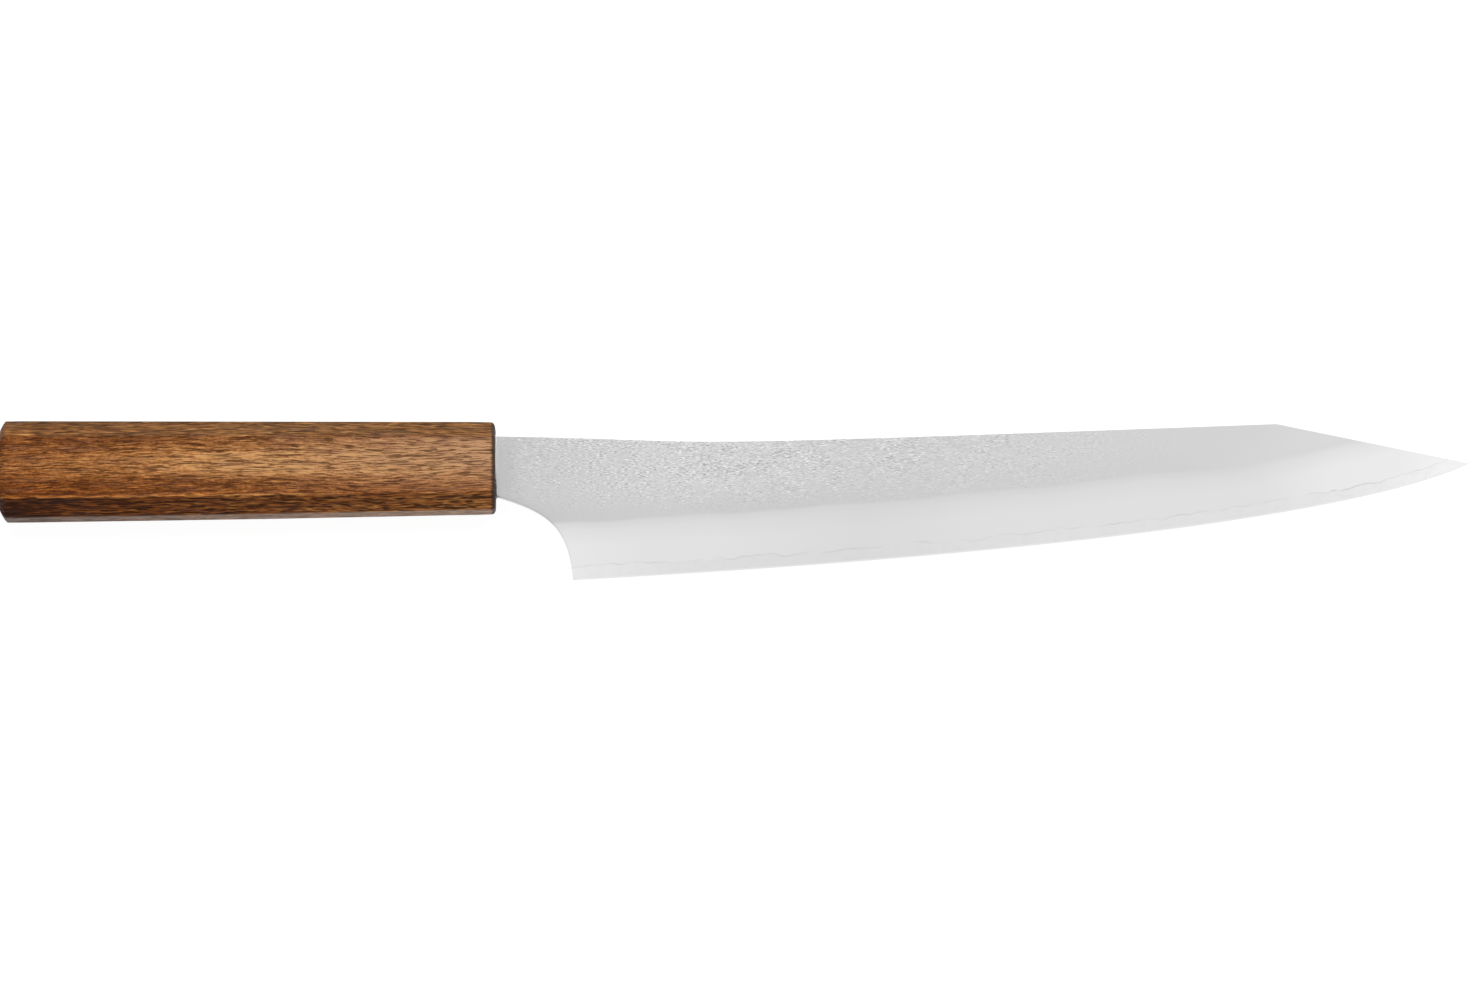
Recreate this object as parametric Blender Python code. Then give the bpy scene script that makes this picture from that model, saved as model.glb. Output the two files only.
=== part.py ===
"""Sujihiki slicing knife: a laminated blade on a hidden tang in an octagonal oak handle.

Metres, +Z up. The knife lies on its left side: +X runs from the handle to the tip,
+Y points to the spine, and the middle plane of the blade is level. The pieces are
modelled in the knife's own frame, whose X axis is the handle's axis and whose origin
is the middle of the handle's front face. An empty carries that frame to its place.
"""

import math

import bmesh
import bpy
import numpy as np

# Blade outline, seen from the side
BLADE_LENGTH = 0.2393
NECK_LENGTH = 0.0205
NECK_TOP = 0.00845
NECK_BOTTOM = 0.0076
HEEL_DROP = 0.0302
TIP_DROP = 0.0004
CLIP_LENGTH = 0.0513
CLIP_TOP = 0.0105

# How full each curve is: slopes, and the reach of its handles as shares of its span
SPINE_SLOPES = (-0.022, 0.031)
SPINE_REACH = (0.345, 0.90)
EDGE_SLOPES = (0.048, 0.485)
EDGE_REACH = (0.81, 0.03)
CHOIL_START_SLOPE = -0.315
CHOIL_END_LEAN = 0.07
CHOIL_REACH = (0.64, 0.665)
CURVE_STEPS = 96
CHOIL_STEPS = 18

# Blade thickness along its length, and the layers in it at the heel
TANG_END_THICKNESS = 0.0020
NECK_THICKNESS = 0.0030
HEEL_THICKNESS = 0.0022
CORNER_THICKNESS = 0.0014
TIP_THICKNESS = 0.0007
CORE_THICKNESS = 0.00067
LAYER_GAP = 0.000002

# Ground bevels: from the blade road down to the sharpened edge
BEVEL_WIDTH = 0.0154
ROAD_DIP = 0.0011
ROAD_DIP_BEFORE_CORNER = 0.013
ROAD_DIP_REACH = 0.012
TIP_GAIN = 0.0009
TIP_GAIN_REACH = 0.020
BEVEL_CROWN = 0.35
BEVEL_ROWS = 3
EDGE_THICKNESS = 0.0002
SHARPENING_ANGLE = math.radians(15)

# The forged joint between the layers is not quite flat, so its line waves on the bevel
JOINT_WAVE = 0.000018
JOINT_WAVE_LENGTH = 0.026
JOINT_RIPPLE = 0.000012
JOINT_RIPPLE_LENGTH = 0.0115
RIPPLE_PHASE_RATIO = 3
RIGHT_PHASE = 0.4
LEFT_PHASE = 2.3
STATION_PITCH = 0.003

# Tang
TANG_LENGTH = 0.088
TANG_ROOT_WIDTH = 0.0120
TANG_END_WIDTH = 0.0060

# Octagonal handle
HANDLE_LENGTH = 0.1321
BUTT_HEIGHT = 0.0258
BUTT_WIDTH = 0.0192
BUTT_CORNER = 0.00475
FRONT_HEIGHT = 0.0237
FRONT_WIDTH = 0.0174
FRONT_CORNER = 0.0042
BUTT_EASE_LENGTH = 0.0017
BUTT_EASE_DEPTH = 0.0034
FRONT_EASE_LENGTH = 0.0013
FRONT_EASE_DEPTH = 0.0022
EASE_STEPS = 4

# How full each eased end is: 1 is a straight chamfer and 2 a quarter of an ellipse
BUTT_EASE_FULLNESS = 1.2
FRONT_EASE_FULLNESS = 2.0

# Fits between tang, adhesive, slot and seal
FIT_GAP = 0.0003
BEDDING_WALL = 0.0005
SLOT_END_STEPS = 8
SEAL_MARGIN = 0.0005
SEAL_HEIGHT = 0.0005
SEAL_SLOPE = 0.00025

# How far a cutter runs past what it shapes, and how far an uncut layer does
OVERSHOOT = 0.004
LAYER_OVERSHOOT = 0.002

# Facets that meet at less than this angle are shaded as one round surface
SMOOTH_ANGLE = math.radians(25)

HEEL_X = NECK_LENGTH
TIP_X = NECK_LENGTH + BLADE_LENGTH
CORNER_X = TIP_X - CLIP_LENGTH
SLOT_ROOM = BEDDING_WALL + 2 * FIT_GAP


def bezier(start, start_handle, end_handle, end, steps):
    """Points of a cubic Bezier curve in the XY plane."""
    t = np.linspace(0.0, 1.0, steps + 1)[:, None]
    points = (1 - t) ** 3 * np.array(start)
    points = points + 3 * (1 - t) ** 2 * t * np.array(start_handle)
    points = points + 3 * (1 - t) * t**2 * np.array(end_handle)
    return points + t**3 * np.array(end)


def flowing_curve(start, end, slopes, reach):
    """A long curve from start to end that leaves and arrives at the given slopes."""
    span = end[0] - start[0]
    out = span * reach[0]
    back = span * reach[1]
    start_handle = (start[0] + out, start[1] + out * slopes[0])
    end_handle = (end[0] - back, end[1] - back * slopes[1])
    return bezier(start, start_handle, end_handle, end, CURVE_STEPS)


def spine_curve():
    """The spine from the handle to the corner of the clipped tip."""
    return flowing_curve((0.0, NECK_TOP), (CORNER_X, CLIP_TOP), SPINE_SLOPES, SPINE_REACH)


def edge_curve():
    """The cutting edge, run on past the heel and the tip so that cutters can trim it."""
    heel = (HEEL_X, -HEEL_DROP)
    tip = (TIP_X, -TIP_DROP)
    curve = flowing_curve(heel, tip, EDGE_SLOPES, EDGE_REACH)
    run_back = HEEL_X + TANG_LENGTH + OVERSHOOT
    before = (heel[0] - run_back, heel[1] - run_back * EDGE_SLOPES[0])
    after = (tip[0] + OVERSHOOT, tip[1] + OVERSHOOT * EDGE_SLOPES[1])
    return np.vstack([before, curve, after])


def choil_curve():
    """The cut-out under the neck, from the handle down to the heel corner."""
    depth = HEEL_DROP - NECK_BOTTOM
    out = CHOIL_REACH[0] * NECK_LENGTH
    rise = CHOIL_REACH[1] * depth
    start = (0.0, -NECK_BOTTOM)
    start_handle = (out, -NECK_BOTTOM + out * CHOIL_START_SLOPE)
    end_handle = (HEEL_X - rise * CHOIL_END_LEAN, -HEEL_DROP + rise)
    return bezier(start, start_handle, end_handle, (HEEL_X, -HEEL_DROP), CHOIL_STEPS)


def thickness_at(x):
    """Blade thickness over its flats at X."""
    places = (-TANG_LENGTH, 0.0, HEEL_X, CORNER_X, TIP_X)
    sizes = (
        TANG_END_THICKNESS,
        NECK_THICKNESS,
        HEEL_THICKNESS,
        CORNER_THICKNESS,
        TIP_THICKNESS,
    )
    return float(np.interp(x, places, sizes))


def drawn_out(x):
    """How much the billet is drawn out at X: its thickness there against the heel's."""
    return thickness_at(x) / HEEL_THICKNESS


def joint_height(x, phase):
    """Distance of a forged joint from the blade's middle plane at X."""
    wave = math.sin(2 * math.pi * x / JOINT_WAVE_LENGTH + phase)
    ripple = math.sin(2 * math.pi * x / JOINT_RIPPLE_LENGTH + RIPPLE_PHASE_RATIO * phase)
    wander = JOINT_WAVE * wave + JOINT_RIPPLE * ripple
    return (CORE_THICKNESS / 2 + wander) * drawn_out(x)


def bevel_width(x):
    """The bevel's width at X: hand grinding left it narrower before the clip, wider after."""
    from_dip = (x - CORNER_X + ROAD_DIP_BEFORE_CORNER) / ROAD_DIP_REACH
    towards_tip = min(max((x - CORNER_X) / TIP_GAIN_REACH, 0.0), 1.0)
    return BEVEL_WIDTH - ROAD_DIP * math.exp(-(from_dip**2)) + TIP_GAIN * towards_tip


def crowned(share):
    """Height of a slightly convex bevel, as a share of its full rise."""
    return share * (1 + BEVEL_CROWN * (1 - share))


def crowned_share(height):
    """The share of the bevel's width at which it reaches a share of its rise."""
    b = 1 + BEVEL_CROWN
    return (b - math.sqrt(b * b - 4 * BEVEL_CROWN * height)) / (2 * BEVEL_CROWN)


class Station:
    """The blade's section at one place along it, before the outline is cut."""

    def __init__(self, x, edge_y):
        self.x = x
        self.edge_y = edge_y
        self.flat = thickness_at(x) / 2
        self.edge_half = EDGE_THICKNESS / 2 * drawn_out(x)
        self.shoulder_y = edge_y + self.edge_half / math.tan(SHARPENING_ANGLE)
        self.road_y = edge_y + bevel_width(x)

    def bevel_point(self, share):
        """(y, z) on the right bevel, at a share of the way up to the blade road."""
        y = self.shoulder_y + share * (self.road_y - self.shoulder_y)
        z = self.edge_half + crowned(share) * (self.flat - self.edge_half)
        return y, z

    def joint_share(self, joint):
        """How far up the bevel the joint between two layers comes out."""
        return crowned_share((joint - self.edge_half) / (self.flat - self.edge_half))


def blade_stations():
    """Stations from behind the tang's end to beyond the tip, one on the spine corner."""
    edge = edge_curve()
    back = -TANG_LENGTH - LAYER_OVERSHOOT
    front = TIP_X + LAYER_OVERSHOOT
    before = math.ceil((CORNER_X - back) / STATION_PITCH)
    after = math.ceil((front - CORNER_X) / STATION_PITCH)
    places = np.linspace(back, CORNER_X, before + 1)
    places = np.append(places, np.linspace(CORNER_X, front, after + 1)[1:])
    return [Station(float(x), float(np.interp(x, edge[:, 0], edge[:, 1]))) for x in places]


def billet_top():
    """Height above every spine and blade road, where the uncut layers end."""
    return max(NECK_TOP, CLIP_TOP, BEVEL_WIDTH + TIP_GAIN - TIP_DROP) + OVERSHOOT


def new_mesh_object(name, mesh_bm):
    """Makes an object from a bmesh, with its faces pointing out and its curves smooth."""
    bmesh.ops.recalc_face_normals(mesh_bm, faces=mesh_bm.faces)
    mesh = bpy.data.meshes.new(name)
    mesh_bm.to_mesh(mesh)
    mesh_bm.free()
    mesh.shade_smooth()
    mesh.set_sharp_from_angle(angle=SMOOTH_ANGLE)
    obj = bpy.data.objects.new(name, mesh)
    bpy.context.scene.collection.objects.link(obj)
    return obj


def loft(name, rings):
    """A solid through rings of equal length, closed by its first and last ring."""
    mesh_bm = bmesh.new()
    loops = [[mesh_bm.verts.new(point) for point in ring] for ring in rings]
    for near, far in zip(loops, loops[1:]):
        for i in range(len(near)):
            j = (i + 1) % len(near)
            mesh_bm.faces.new((near[i], near[j], far[j], far[i]))
    mesh_bm.faces.new(loops[0])
    mesh_bm.faces.new(loops[-1])
    bmesh.ops.triangulate(mesh_bm, faces=mesh_bm.faces)
    return new_mesh_object(name, mesh_bm)


def prism(name, outline, half_thickness):
    """A solid of constant thickness about the blade's middle plane."""
    mesh_bm = bmesh.new()
    face = mesh_bm.faces.new([mesh_bm.verts.new((x, y, -half_thickness)) for x, y in outline])
    raised = bmesh.ops.extrude_face_region(mesh_bm, geom=[face])
    verts = [item for item in raised["geom"] if isinstance(item, bmesh.types.BMVert)]
    bmesh.ops.translate(mesh_bm, verts=verts, vec=(0, 0, 2 * half_thickness))
    return new_mesh_object(name, mesh_bm)


def hide_cutter(obj):
    """Keeps a helper out of the model."""
    obj.hide_render = True
    obj.display_type = "WIRE"


def cut(obj, cutter, operation):
    """Adds a live Boolean to an object."""
    boolean = obj.modifiers.new(f"{operation.lower()} {cutter.name}", "BOOLEAN")
    boolean.operation = operation
    boolean.object = cutter


def tang_outline():
    """The tang's lower and upper sides, from its root to its end and back."""
    root = TANG_ROOT_WIDTH / 2
    end = TANG_END_WIDTH / 2
    return [
        (FIT_GAP, root),
        (0.0, root),
        (-TANG_LENGTH, end),
        (-TANG_LENGTH, -end),
        (0.0, -root),
        (FIT_GAP, -root),
    ]


def blade_profile():
    """Cutter with the blade's side view: spine, clipped tip, choil, shoulders and tang."""
    spine = [tuple(point) for point in spine_curve() if point[0] > FIT_GAP]
    choil = [tuple(point) for point in choil_curve() if point[0] > FIT_GAP]
    clip_slope = (-TIP_DROP - CLIP_TOP) / CLIP_LENGTH
    below = -HEEL_DROP - OVERSHOOT
    beyond_tip = (TIP_X + OVERSHOOT, -TIP_DROP + OVERSHOOT * clip_slope)
    under_tip = (TIP_X + OVERSHOOT, below)
    under_heel = (HEEL_X + OVERSHOOT * CHOIL_END_LEAN, below)
    upper_shoulder = (FIT_GAP, NECK_TOP)
    lower_shoulder = (FIT_GAP, -NECK_BOTTOM)
    outline = spine[::-1] + [upper_shoulder] + tang_outline() + [lower_shoulder]
    outline += choil + [under_heel, under_tip, beyond_tip]
    profile = prism("blade_profile", outline, NECK_THICKNESS)
    hide_cutter(profile)
    return profile


def cladding_ring(station, phase, side, top):
    """One section of a cladding: joint, flat, bevel, and the feather edge at the joint."""
    joint = joint_height(station.x, phase) + LAYER_GAP
    feather = station.joint_share(joint)
    points = [(top, joint), (top, station.flat)]
    for row in range(BEVEL_ROWS):
        points.append(station.bevel_point(1 - (1 - feather) * row / BEVEL_ROWS))
    points.append((station.bevel_point(feather)[0], joint))
    return [(station.x, y, side * z) for y, z in points]


def core_ring(station, top):
    """One section of the core: both joints, and the bare steel down to the edge."""
    right = joint_height(station.x, RIGHT_PHASE)
    left = joint_height(station.x, LEFT_PHASE)
    right_y = station.bevel_point(station.joint_share(right))[0]
    left_y = station.bevel_point(station.joint_share(left))[0]
    points = [
        (top, right),
        (right_y, right),
        (station.shoulder_y, station.edge_half),
        (station.edge_y, 0.0),
        (station.shoulder_y, -station.edge_half),
        (left_y, -left),
        (top, -left),
    ]
    return [(station.x, y, z) for y, z in points]


def make_blade():
    """The three forged layers, each ground to the bevels and cut to the same outline."""
    stations = blade_stations()
    top = billet_top()
    profile = blade_profile()
    core = loft("core_steel", [core_ring(s, top) for s in stations])
    right = loft("right_cladding", [cladding_ring(s, RIGHT_PHASE, 1, top) for s in stations])
    left = loft("left_cladding", [cladding_ring(s, LEFT_PHASE, -1, top) for s in stations])
    for layer in (core, right, left):
        cut(layer, profile, "INTERSECT")
    return [profile, core, right, left]


def octagon(x, height, width, corner, inset=0.0):
    """An octagonal handle section at X, drawn in evenly on all its sides by inset."""
    half_height = height / 2 - inset
    half_width = width / 2 - inset
    leg = corner - (2 - math.sqrt(2)) * inset
    quarter = [(half_height, half_width - leg), (half_height - leg, half_width)]
    upper = quarter + [(-y, z) for y, z in quarter[::-1]]
    return [(x, y, z) for y, z in upper] + [(x, y, -z) for y, z in upper[::-1]]


def ease(length, depth, fullness):
    """(distance from the end, inset) pairs of an eased end, from its face to full size."""
    pairs = []
    for step in range(EASE_STEPS + 1):
        turn = math.pi / 2 * step / EASE_STEPS
        along = 1 - math.cos(turn) ** (2 / fullness)
        drawn_in = 1 - math.sin(turn) ** (2 / fullness)
        pairs.append((length * along, depth * drawn_in))
    return pairs


def eased_stations():
    """(x, inset) pairs along the handle, from the butt's face to the front face."""
    butt = ease(BUTT_EASE_LENGTH, BUTT_EASE_DEPTH, BUTT_EASE_FULLNESS)
    front = ease(FRONT_EASE_LENGTH, FRONT_EASE_DEPTH, FRONT_EASE_FULLNESS)
    stations = [(-HANDLE_LENGTH + distance, inset) for distance, inset in butt]
    return stations + [(-distance, inset) for distance, inset in front[::-1]]


def stadium(x, half_height, half_width):
    """A slot section at X with round ends, as a row of drillings leaves it."""
    ring = []
    straight = half_height - half_width
    for end in (1, -1):
        for step in range(SLOT_END_STEPS + 1):
            turn = math.pi * step / SLOT_END_STEPS
            y = end * (straight + half_width * math.sin(turn))
            ring.append((x, y, end * half_width * math.cos(turn)))
    return ring


def slot_loft(name, back_x, front_x, shrink):
    """The tang slot's shape between two places, drawn in by shrink all round."""
    half_height = TANG_ROOT_WIDTH / 2 + SLOT_ROOM - shrink
    half_width = NECK_THICKNESS / 2 + SLOT_ROOM - shrink
    return loft(name, [stadium(x, half_height, half_width) for x in (back_x, front_x)])


def make_handle():
    """The one-piece oak handle, octagonal and tapered, with its blind tang slot."""
    places = (-HANDLE_LENGTH + BUTT_EASE_LENGTH, -FRONT_EASE_LENGTH)
    rings = []
    for x, inset in eased_stations():
        height = float(np.interp(x, places, (BUTT_HEIGHT, FRONT_HEIGHT)))
        width = float(np.interp(x, places, (BUTT_WIDTH, FRONT_WIDTH)))
        corner = float(np.interp(x, places, (BUTT_CORNER, FRONT_CORNER)))
        rings.append(octagon(x, height, width, corner, inset))
    handle = loft("handle_body", rings)
    slot = slot_loft("tang_slot", -TANG_LENGTH - SLOT_ROOM, OVERSHOOT, 0.0)
    hide_cutter(slot)
    cut(handle, slot, "DIFFERENCE")
    return [handle, slot]


def block_ring(x, low_y, high_y, half_thickness):
    """A rectangular section at X."""
    return [
        (x, low_y, -half_thickness),
        (x, high_y, -half_thickness),
        (x, high_y, half_thickness),
        (x, low_y, half_thickness),
    ]


def make_bedding():
    """The cured adhesive that fills the slot round the tang."""
    bedding = slot_loft("tang_bedding", -TANG_LENGTH - SLOT_ROOM + FIT_GAP, 0.0, FIT_GAP)
    root = TANG_ROOT_WIDTH / 2 + FIT_GAP
    end = TANG_END_WIDTH / 2 + FIT_GAP
    root_half = NECK_THICKNESS / 2 + FIT_GAP
    end_half = TANG_END_THICKNESS / 2 + FIT_GAP
    rings = [
        block_ring(-TANG_LENGTH - FIT_GAP, -end, end, end_half),
        block_ring(0.0, -root, root, root_half),
        block_ring(OVERSHOOT, -root, root, root_half),
    ]
    pocket = loft("tang_pocket", rings)
    hide_cutter(pocket)
    cut(bedding, pocket, "DIFFERENCE")
    return [bedding, pocket]


def make_seal():
    """The bead of sealant on the handle's mouth, all round the neck."""
    half_width = NECK_THICKNESS / 2 + SLOT_ROOM + SEAL_MARGIN
    low = -NECK_BOTTOM - FIT_GAP - SEAL_MARGIN
    high = NECK_TOP + FIT_GAP + SEAL_MARGIN
    rings = [
        block_ring(0.0, low, high, half_width),
        block_ring(SEAL_HEIGHT, low + SEAL_SLOPE, high - SEAL_SLOPE, half_width - SEAL_SLOPE),
    ]
    seal = loft("mouth_seal", rings)
    opening_half = NECK_THICKNESS / 2 + FIT_GAP
    opening = loft(
        "neck_opening",
        [
            block_ring(x, -NECK_BOTTOM - FIT_GAP, NECK_TOP + FIT_GAP, opening_half)
            for x in (-OVERSHOOT, OVERSHOOT)
        ],
    )
    hide_cutter(opening)
    cut(seal, opening, "DIFFERENCE")
    return [seal, opening]


def make_material(name, colour, roughness, metallic):
    """A Principled material of one colour."""
    material = bpy.data.materials.new(name)
    material.use_nodes = True
    shader = material.node_tree.nodes["Principled BSDF"]
    shader.inputs["Base Color"].default_value = (*colour, 1.0)
    shader.inputs["Roughness"].default_value = roughness
    shader.inputs["Metallic"].default_value = metallic
    material.diffuse_color = (*colour, 1.0)
    return material


def dress():
    """Gives each piece its own material."""
    finishes = {
        "core_steel": ((0.62, 0.62, 0.63), 0.28, 1.0),
        "right_cladding": ((0.70, 0.70, 0.71), 0.42, 1.0),
        "left_cladding": ((0.70, 0.70, 0.71), 0.42, 1.0),
        "handle_body": ((0.28, 0.13, 0.055), 0.45, 0.0),
        "tang_bedding": ((0.55, 0.47, 0.33), 0.50, 0.0),
        "mouth_seal": ((0.10, 0.085, 0.075), 0.40, 0.0),
    }
    for name, finish in finishes.items():
        material = make_material(f"{name}_finish", *finish)
        bpy.data.objects[name].data.materials.append(material)


def place_knife(pieces):
    """Stands the knife's frame so that the box of the part is centred on the origin."""
    knife_frame = bpy.data.objects.new("knife_frame", None)
    bpy.context.scene.collection.objects.link(knife_frame)
    middle_x = (TIP_X - HANDLE_LENGTH) / 2
    middle_y = (BUTT_HEIGHT / 2 - HEEL_DROP) / 2
    knife_frame.location = (-middle_x, -middle_y, BUTT_WIDTH / 2)
    for piece in pieces:
        piece.parent = knife_frame


def main():
    for obj in list(bpy.data.objects):
        bpy.data.objects.remove(obj, do_unlink=True)
    pieces = make_blade() + make_handle() + make_bedding() + make_seal()
    dress()
    place_knife(pieces)
    bpy.context.view_layer.update()


main()
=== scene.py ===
"""Finishes of a sujihiki knife: forged and ground blade layers, oak handle, soft studio.

Shapes are worked out in the knife's own frame, whose X axis is the handle's axis and
whose origin is the middle of the handle's front face.
"""

import logging
import math
from dataclasses import dataclass
from enum import Enum
from functools import partial
from typing import Any

import bmesh
import bpy
import numpy as np
from mathutils import Matrix, Vector, noise

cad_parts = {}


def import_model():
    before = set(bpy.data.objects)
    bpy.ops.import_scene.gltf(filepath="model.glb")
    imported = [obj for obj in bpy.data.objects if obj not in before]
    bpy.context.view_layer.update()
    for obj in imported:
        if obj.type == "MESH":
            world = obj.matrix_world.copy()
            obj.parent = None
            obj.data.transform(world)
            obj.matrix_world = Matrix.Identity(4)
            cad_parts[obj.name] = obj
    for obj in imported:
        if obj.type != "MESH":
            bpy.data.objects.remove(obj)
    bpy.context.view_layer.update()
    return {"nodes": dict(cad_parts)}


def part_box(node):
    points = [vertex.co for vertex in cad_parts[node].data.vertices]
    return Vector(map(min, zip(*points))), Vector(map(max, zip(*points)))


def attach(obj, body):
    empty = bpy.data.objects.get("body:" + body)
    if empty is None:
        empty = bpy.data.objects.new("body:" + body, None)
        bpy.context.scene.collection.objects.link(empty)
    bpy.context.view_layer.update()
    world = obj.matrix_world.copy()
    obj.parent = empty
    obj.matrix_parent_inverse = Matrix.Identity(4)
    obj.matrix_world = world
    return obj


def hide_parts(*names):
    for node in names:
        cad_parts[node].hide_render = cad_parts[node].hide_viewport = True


LOG = logging.getLogger("knife")
MM = 0.001
TINY = 1e-6
QUARTER_TURN = math.pi / 2
WHOLE = (0.0, 1.0)
WHITE = (1.0, 1.0, 1.0, 1.0)
MIRROR_RAYS = ("Is Glossy Ray", "Is Transmission Ray")
# Drawn-out noise repeats this much more slowly through the knife than it does up and down.
THROUGH = 0.35

Pair = tuple[float, float]
Triple = tuple[float, float, float]
# The values of a number where a change starts and is full, and the shares that it has there.
Range = tuple[float, float, float, float]
# Values of a number in rising order, each with a hex colour or a grey.
Stops = tuple[tuple[float, Any], ...]
# The values where a coat starts and is full, how much the full coat hides, and its colour.
Coat = tuple[Pair, float, Any]


class Side(Enum):
    """A face of the blade, as the way its normal points along Z."""

    RIGHT = 1
    LEFT = -1


def to_linear(hex_colour: str) -> tuple[float, float, float, float]:
    """Turns an sRGB hex colour into linear light, by the standard's own curve.

    Args:
        hex_colour: Six hex digits, as in "c8a27b".

    Returns:
        Linear red, green and blue, and an alpha of 1.
    """
    values = [int(hex_colour[i : i + 2], 16) / 255 for i in (0, 2, 4)]
    linear = [v / 12.92 if v <= 0.04045 else ((v + 0.055) / 1.055) ** 2.4 for v in values]
    return (linear[0], linear[1], linear[2], 1.0)


def add_node(tree: Any, kind: str, inputs: Any = (), out: Any = 0, **settings: Any) -> Any:
    """Adds a node with its settings, its fixed values and its links.

    Args:
        tree: The node tree.
        kind: The node's type, without its "ShaderNode".
        inputs: What its first sockets get, in order, or a dictionary by socket name or number.
            Each gets a value, or another node's output that drives it.
        out: Name or number of the output that is wanted.
        settings: The node's own properties.

    Returns:
        The wanted output.
    """
    node = tree.nodes.new(f"ShaderNode{kind}")
    for name, value in settings.items():
        setattr(node, name, value)
    for key, value in inputs.items() if isinstance(inputs, dict) else enumerate(inputs):
        if isinstance(value, bpy.types.NodeSocket):
            tree.links.new(value, node.inputs[key])
        else:
            node.inputs[key].default_value = value
    return node.outputs[out]


def bezier(points: list[Pair], steps: int) -> np.ndarray:
    """Samples a cubic Bezier curve.

    Args:
        points: Its start, its two handles and its end.
        steps: How many pieces it is cut into.

    Returns:
        The samples, as rows of x and y.
    """
    t = np.linspace(0.0, 1.0, steps + 1)[:, None]
    weights = ((1 - t) ** 3, 3 * (1 - t) ** 2 * t, 3 * (1 - t) * t**2, t**3)
    return sum(weight * np.array(point) for weight, point in zip(weights, points))


def evenly(line: np.ndarray, count: int) -> np.ndarray:
    """Picks points at even steps along a line.

    Args:
        line: The line's points, as rows of x and y.
        count: How many points to pick, both ends among them.

    Returns:
        The picked points.
    """
    steps = np.hypot(*np.diff(line, axis=0).T)
    along = np.concatenate([[0.0], np.cumsum(steps)])
    places = np.linspace(0.0, along[-1], count)
    return np.column_stack([np.interp(places, along, line[:, axis]) for axis in (0, 1)])


def run_until(line: np.ndarray, room: np.ndarray) -> np.ndarray:
    """Keeps the start of a line, up to the place where the room beside it runs out.

    Args:
        line: The line's points.
        room: What is left at each point, falling below zero past the wanted end.

    Returns:
        The kept points and the place where the room is zero.
    """
    last = int(np.argmax(room <= 0))
    share = room[last - 1] / (room[last - 1] - room[last])
    crossing = line[last - 1] + share * (line[last] - line[last - 1])
    return np.vstack([line[:last], crossing])


def distance_to(line: np.ndarray, points: np.ndarray) -> np.ndarray:
    """Distance of each point from a line of straight runs.

    Args:
        line: The line's points.
        points: The points to measure, as rows of x and y.

    Returns:
        One distance for each point.
    """
    nearest = np.full(len(points), np.inf)
    for start, end in zip(line, line[1:]):
        run = end - start
        share = np.clip((points - start) @ run / (run @ run), 0.0, 1.0)
        offset = points - start - share[:, None] * run
        nearest = np.minimum(nearest, np.hypot(offset[:, 0], offset[:, 1]))
    return nearest


def plane_points(verts: Any) -> np.ndarray:
    """Places of vertices along and across the blade."""
    return np.array([vert.co.xy for vert in verts])


def set_depths(verts: Any, depths: np.ndarray) -> None:
    """Moves vertices to the given distances from the blade's middle plane."""
    for vert, depth in zip(verts, depths):
        vert.co.z = depth


def new_verts(result: dict[str, Any]) -> list[Any]:
    """The vertices among what a bmesh operator made."""
    return [item for item in result["geom"] if isinstance(item, bmesh.types.BMVert)]


def ring_edges(verts: list[Any]) -> list[Any]:
    """The edges that run between the given vertices."""
    edges = {edge for vert in verts for edge in vert.link_edges}
    return [edge for edge in edges if set(edge.verts).issubset(verts)]


def grow(bm: Any, verts: list[Any]) -> list[Any]:
    """Extrudes the edges that run between the given vertices, and gives the new vertices."""
    return new_verts(bmesh.ops.extrude_edge_only(bm, edges=ring_edges(verts)))


def grow_rings(bm: Any, ring: list[Any], count: int) -> list[list[Any]]:
    """Extrudes a ring of vertices again and again.

    Args:
        bm: The mesh.
        ring: The first ring.
        count: How many rings are wanted.

    Returns:
        All the rings, in order.
    """
    rings = [ring]
    while len(rings) < count:
        rings.append(grow(bm, rings[-1]))
    return rings


def turned_ring(bm: Any, count: int, radius: float) -> list[Any]:
    """Makes a ring of vertices, turned by half a step so that none lies on an axis.

    Args:
        bm: The mesh.
        count: How many vertices it has.
        radius: Its radius.

    Returns:
        Its vertices.
    """
    ring = bmesh.ops.create_circle(bm, segments=count, radius=radius)["verts"]
    bmesh.ops.rotate(bm, verts=ring, matrix=Matrix.Rotation(math.pi / count, 3, "Z"))
    return ring


def set_down(name: str, data: Any) -> bpy.types.Object:
    """Puts a new object into the scene.

    Args:
        name: Its name.
        data: Its mesh, lamp or camera.

    Returns:
        The object.
    """
    obj = bpy.data.objects.new(name, data)
    bpy.context.scene.collection.objects.link(obj)
    return obj


@dataclass(frozen=True)
class KnifeFrame:
    """Where the knife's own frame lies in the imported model."""

    origin: Vector
    tip_x: float
    heel_drop: float
    handle_length: float

    @classmethod
    def from_model(cls) -> "KnifeFrame":
        """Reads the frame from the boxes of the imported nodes.

        Returns:
            The frame.
        """
        low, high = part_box("handle_body")
        origin = Vector((high[0], (low[1] + high[1]) / 2, (low[2] + high[2]) / 2))
        core_low, core_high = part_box("core_steel")
        return cls(origin, core_high[0] - origin.x, origin.y - core_low[1], high[0] - low[0])


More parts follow.
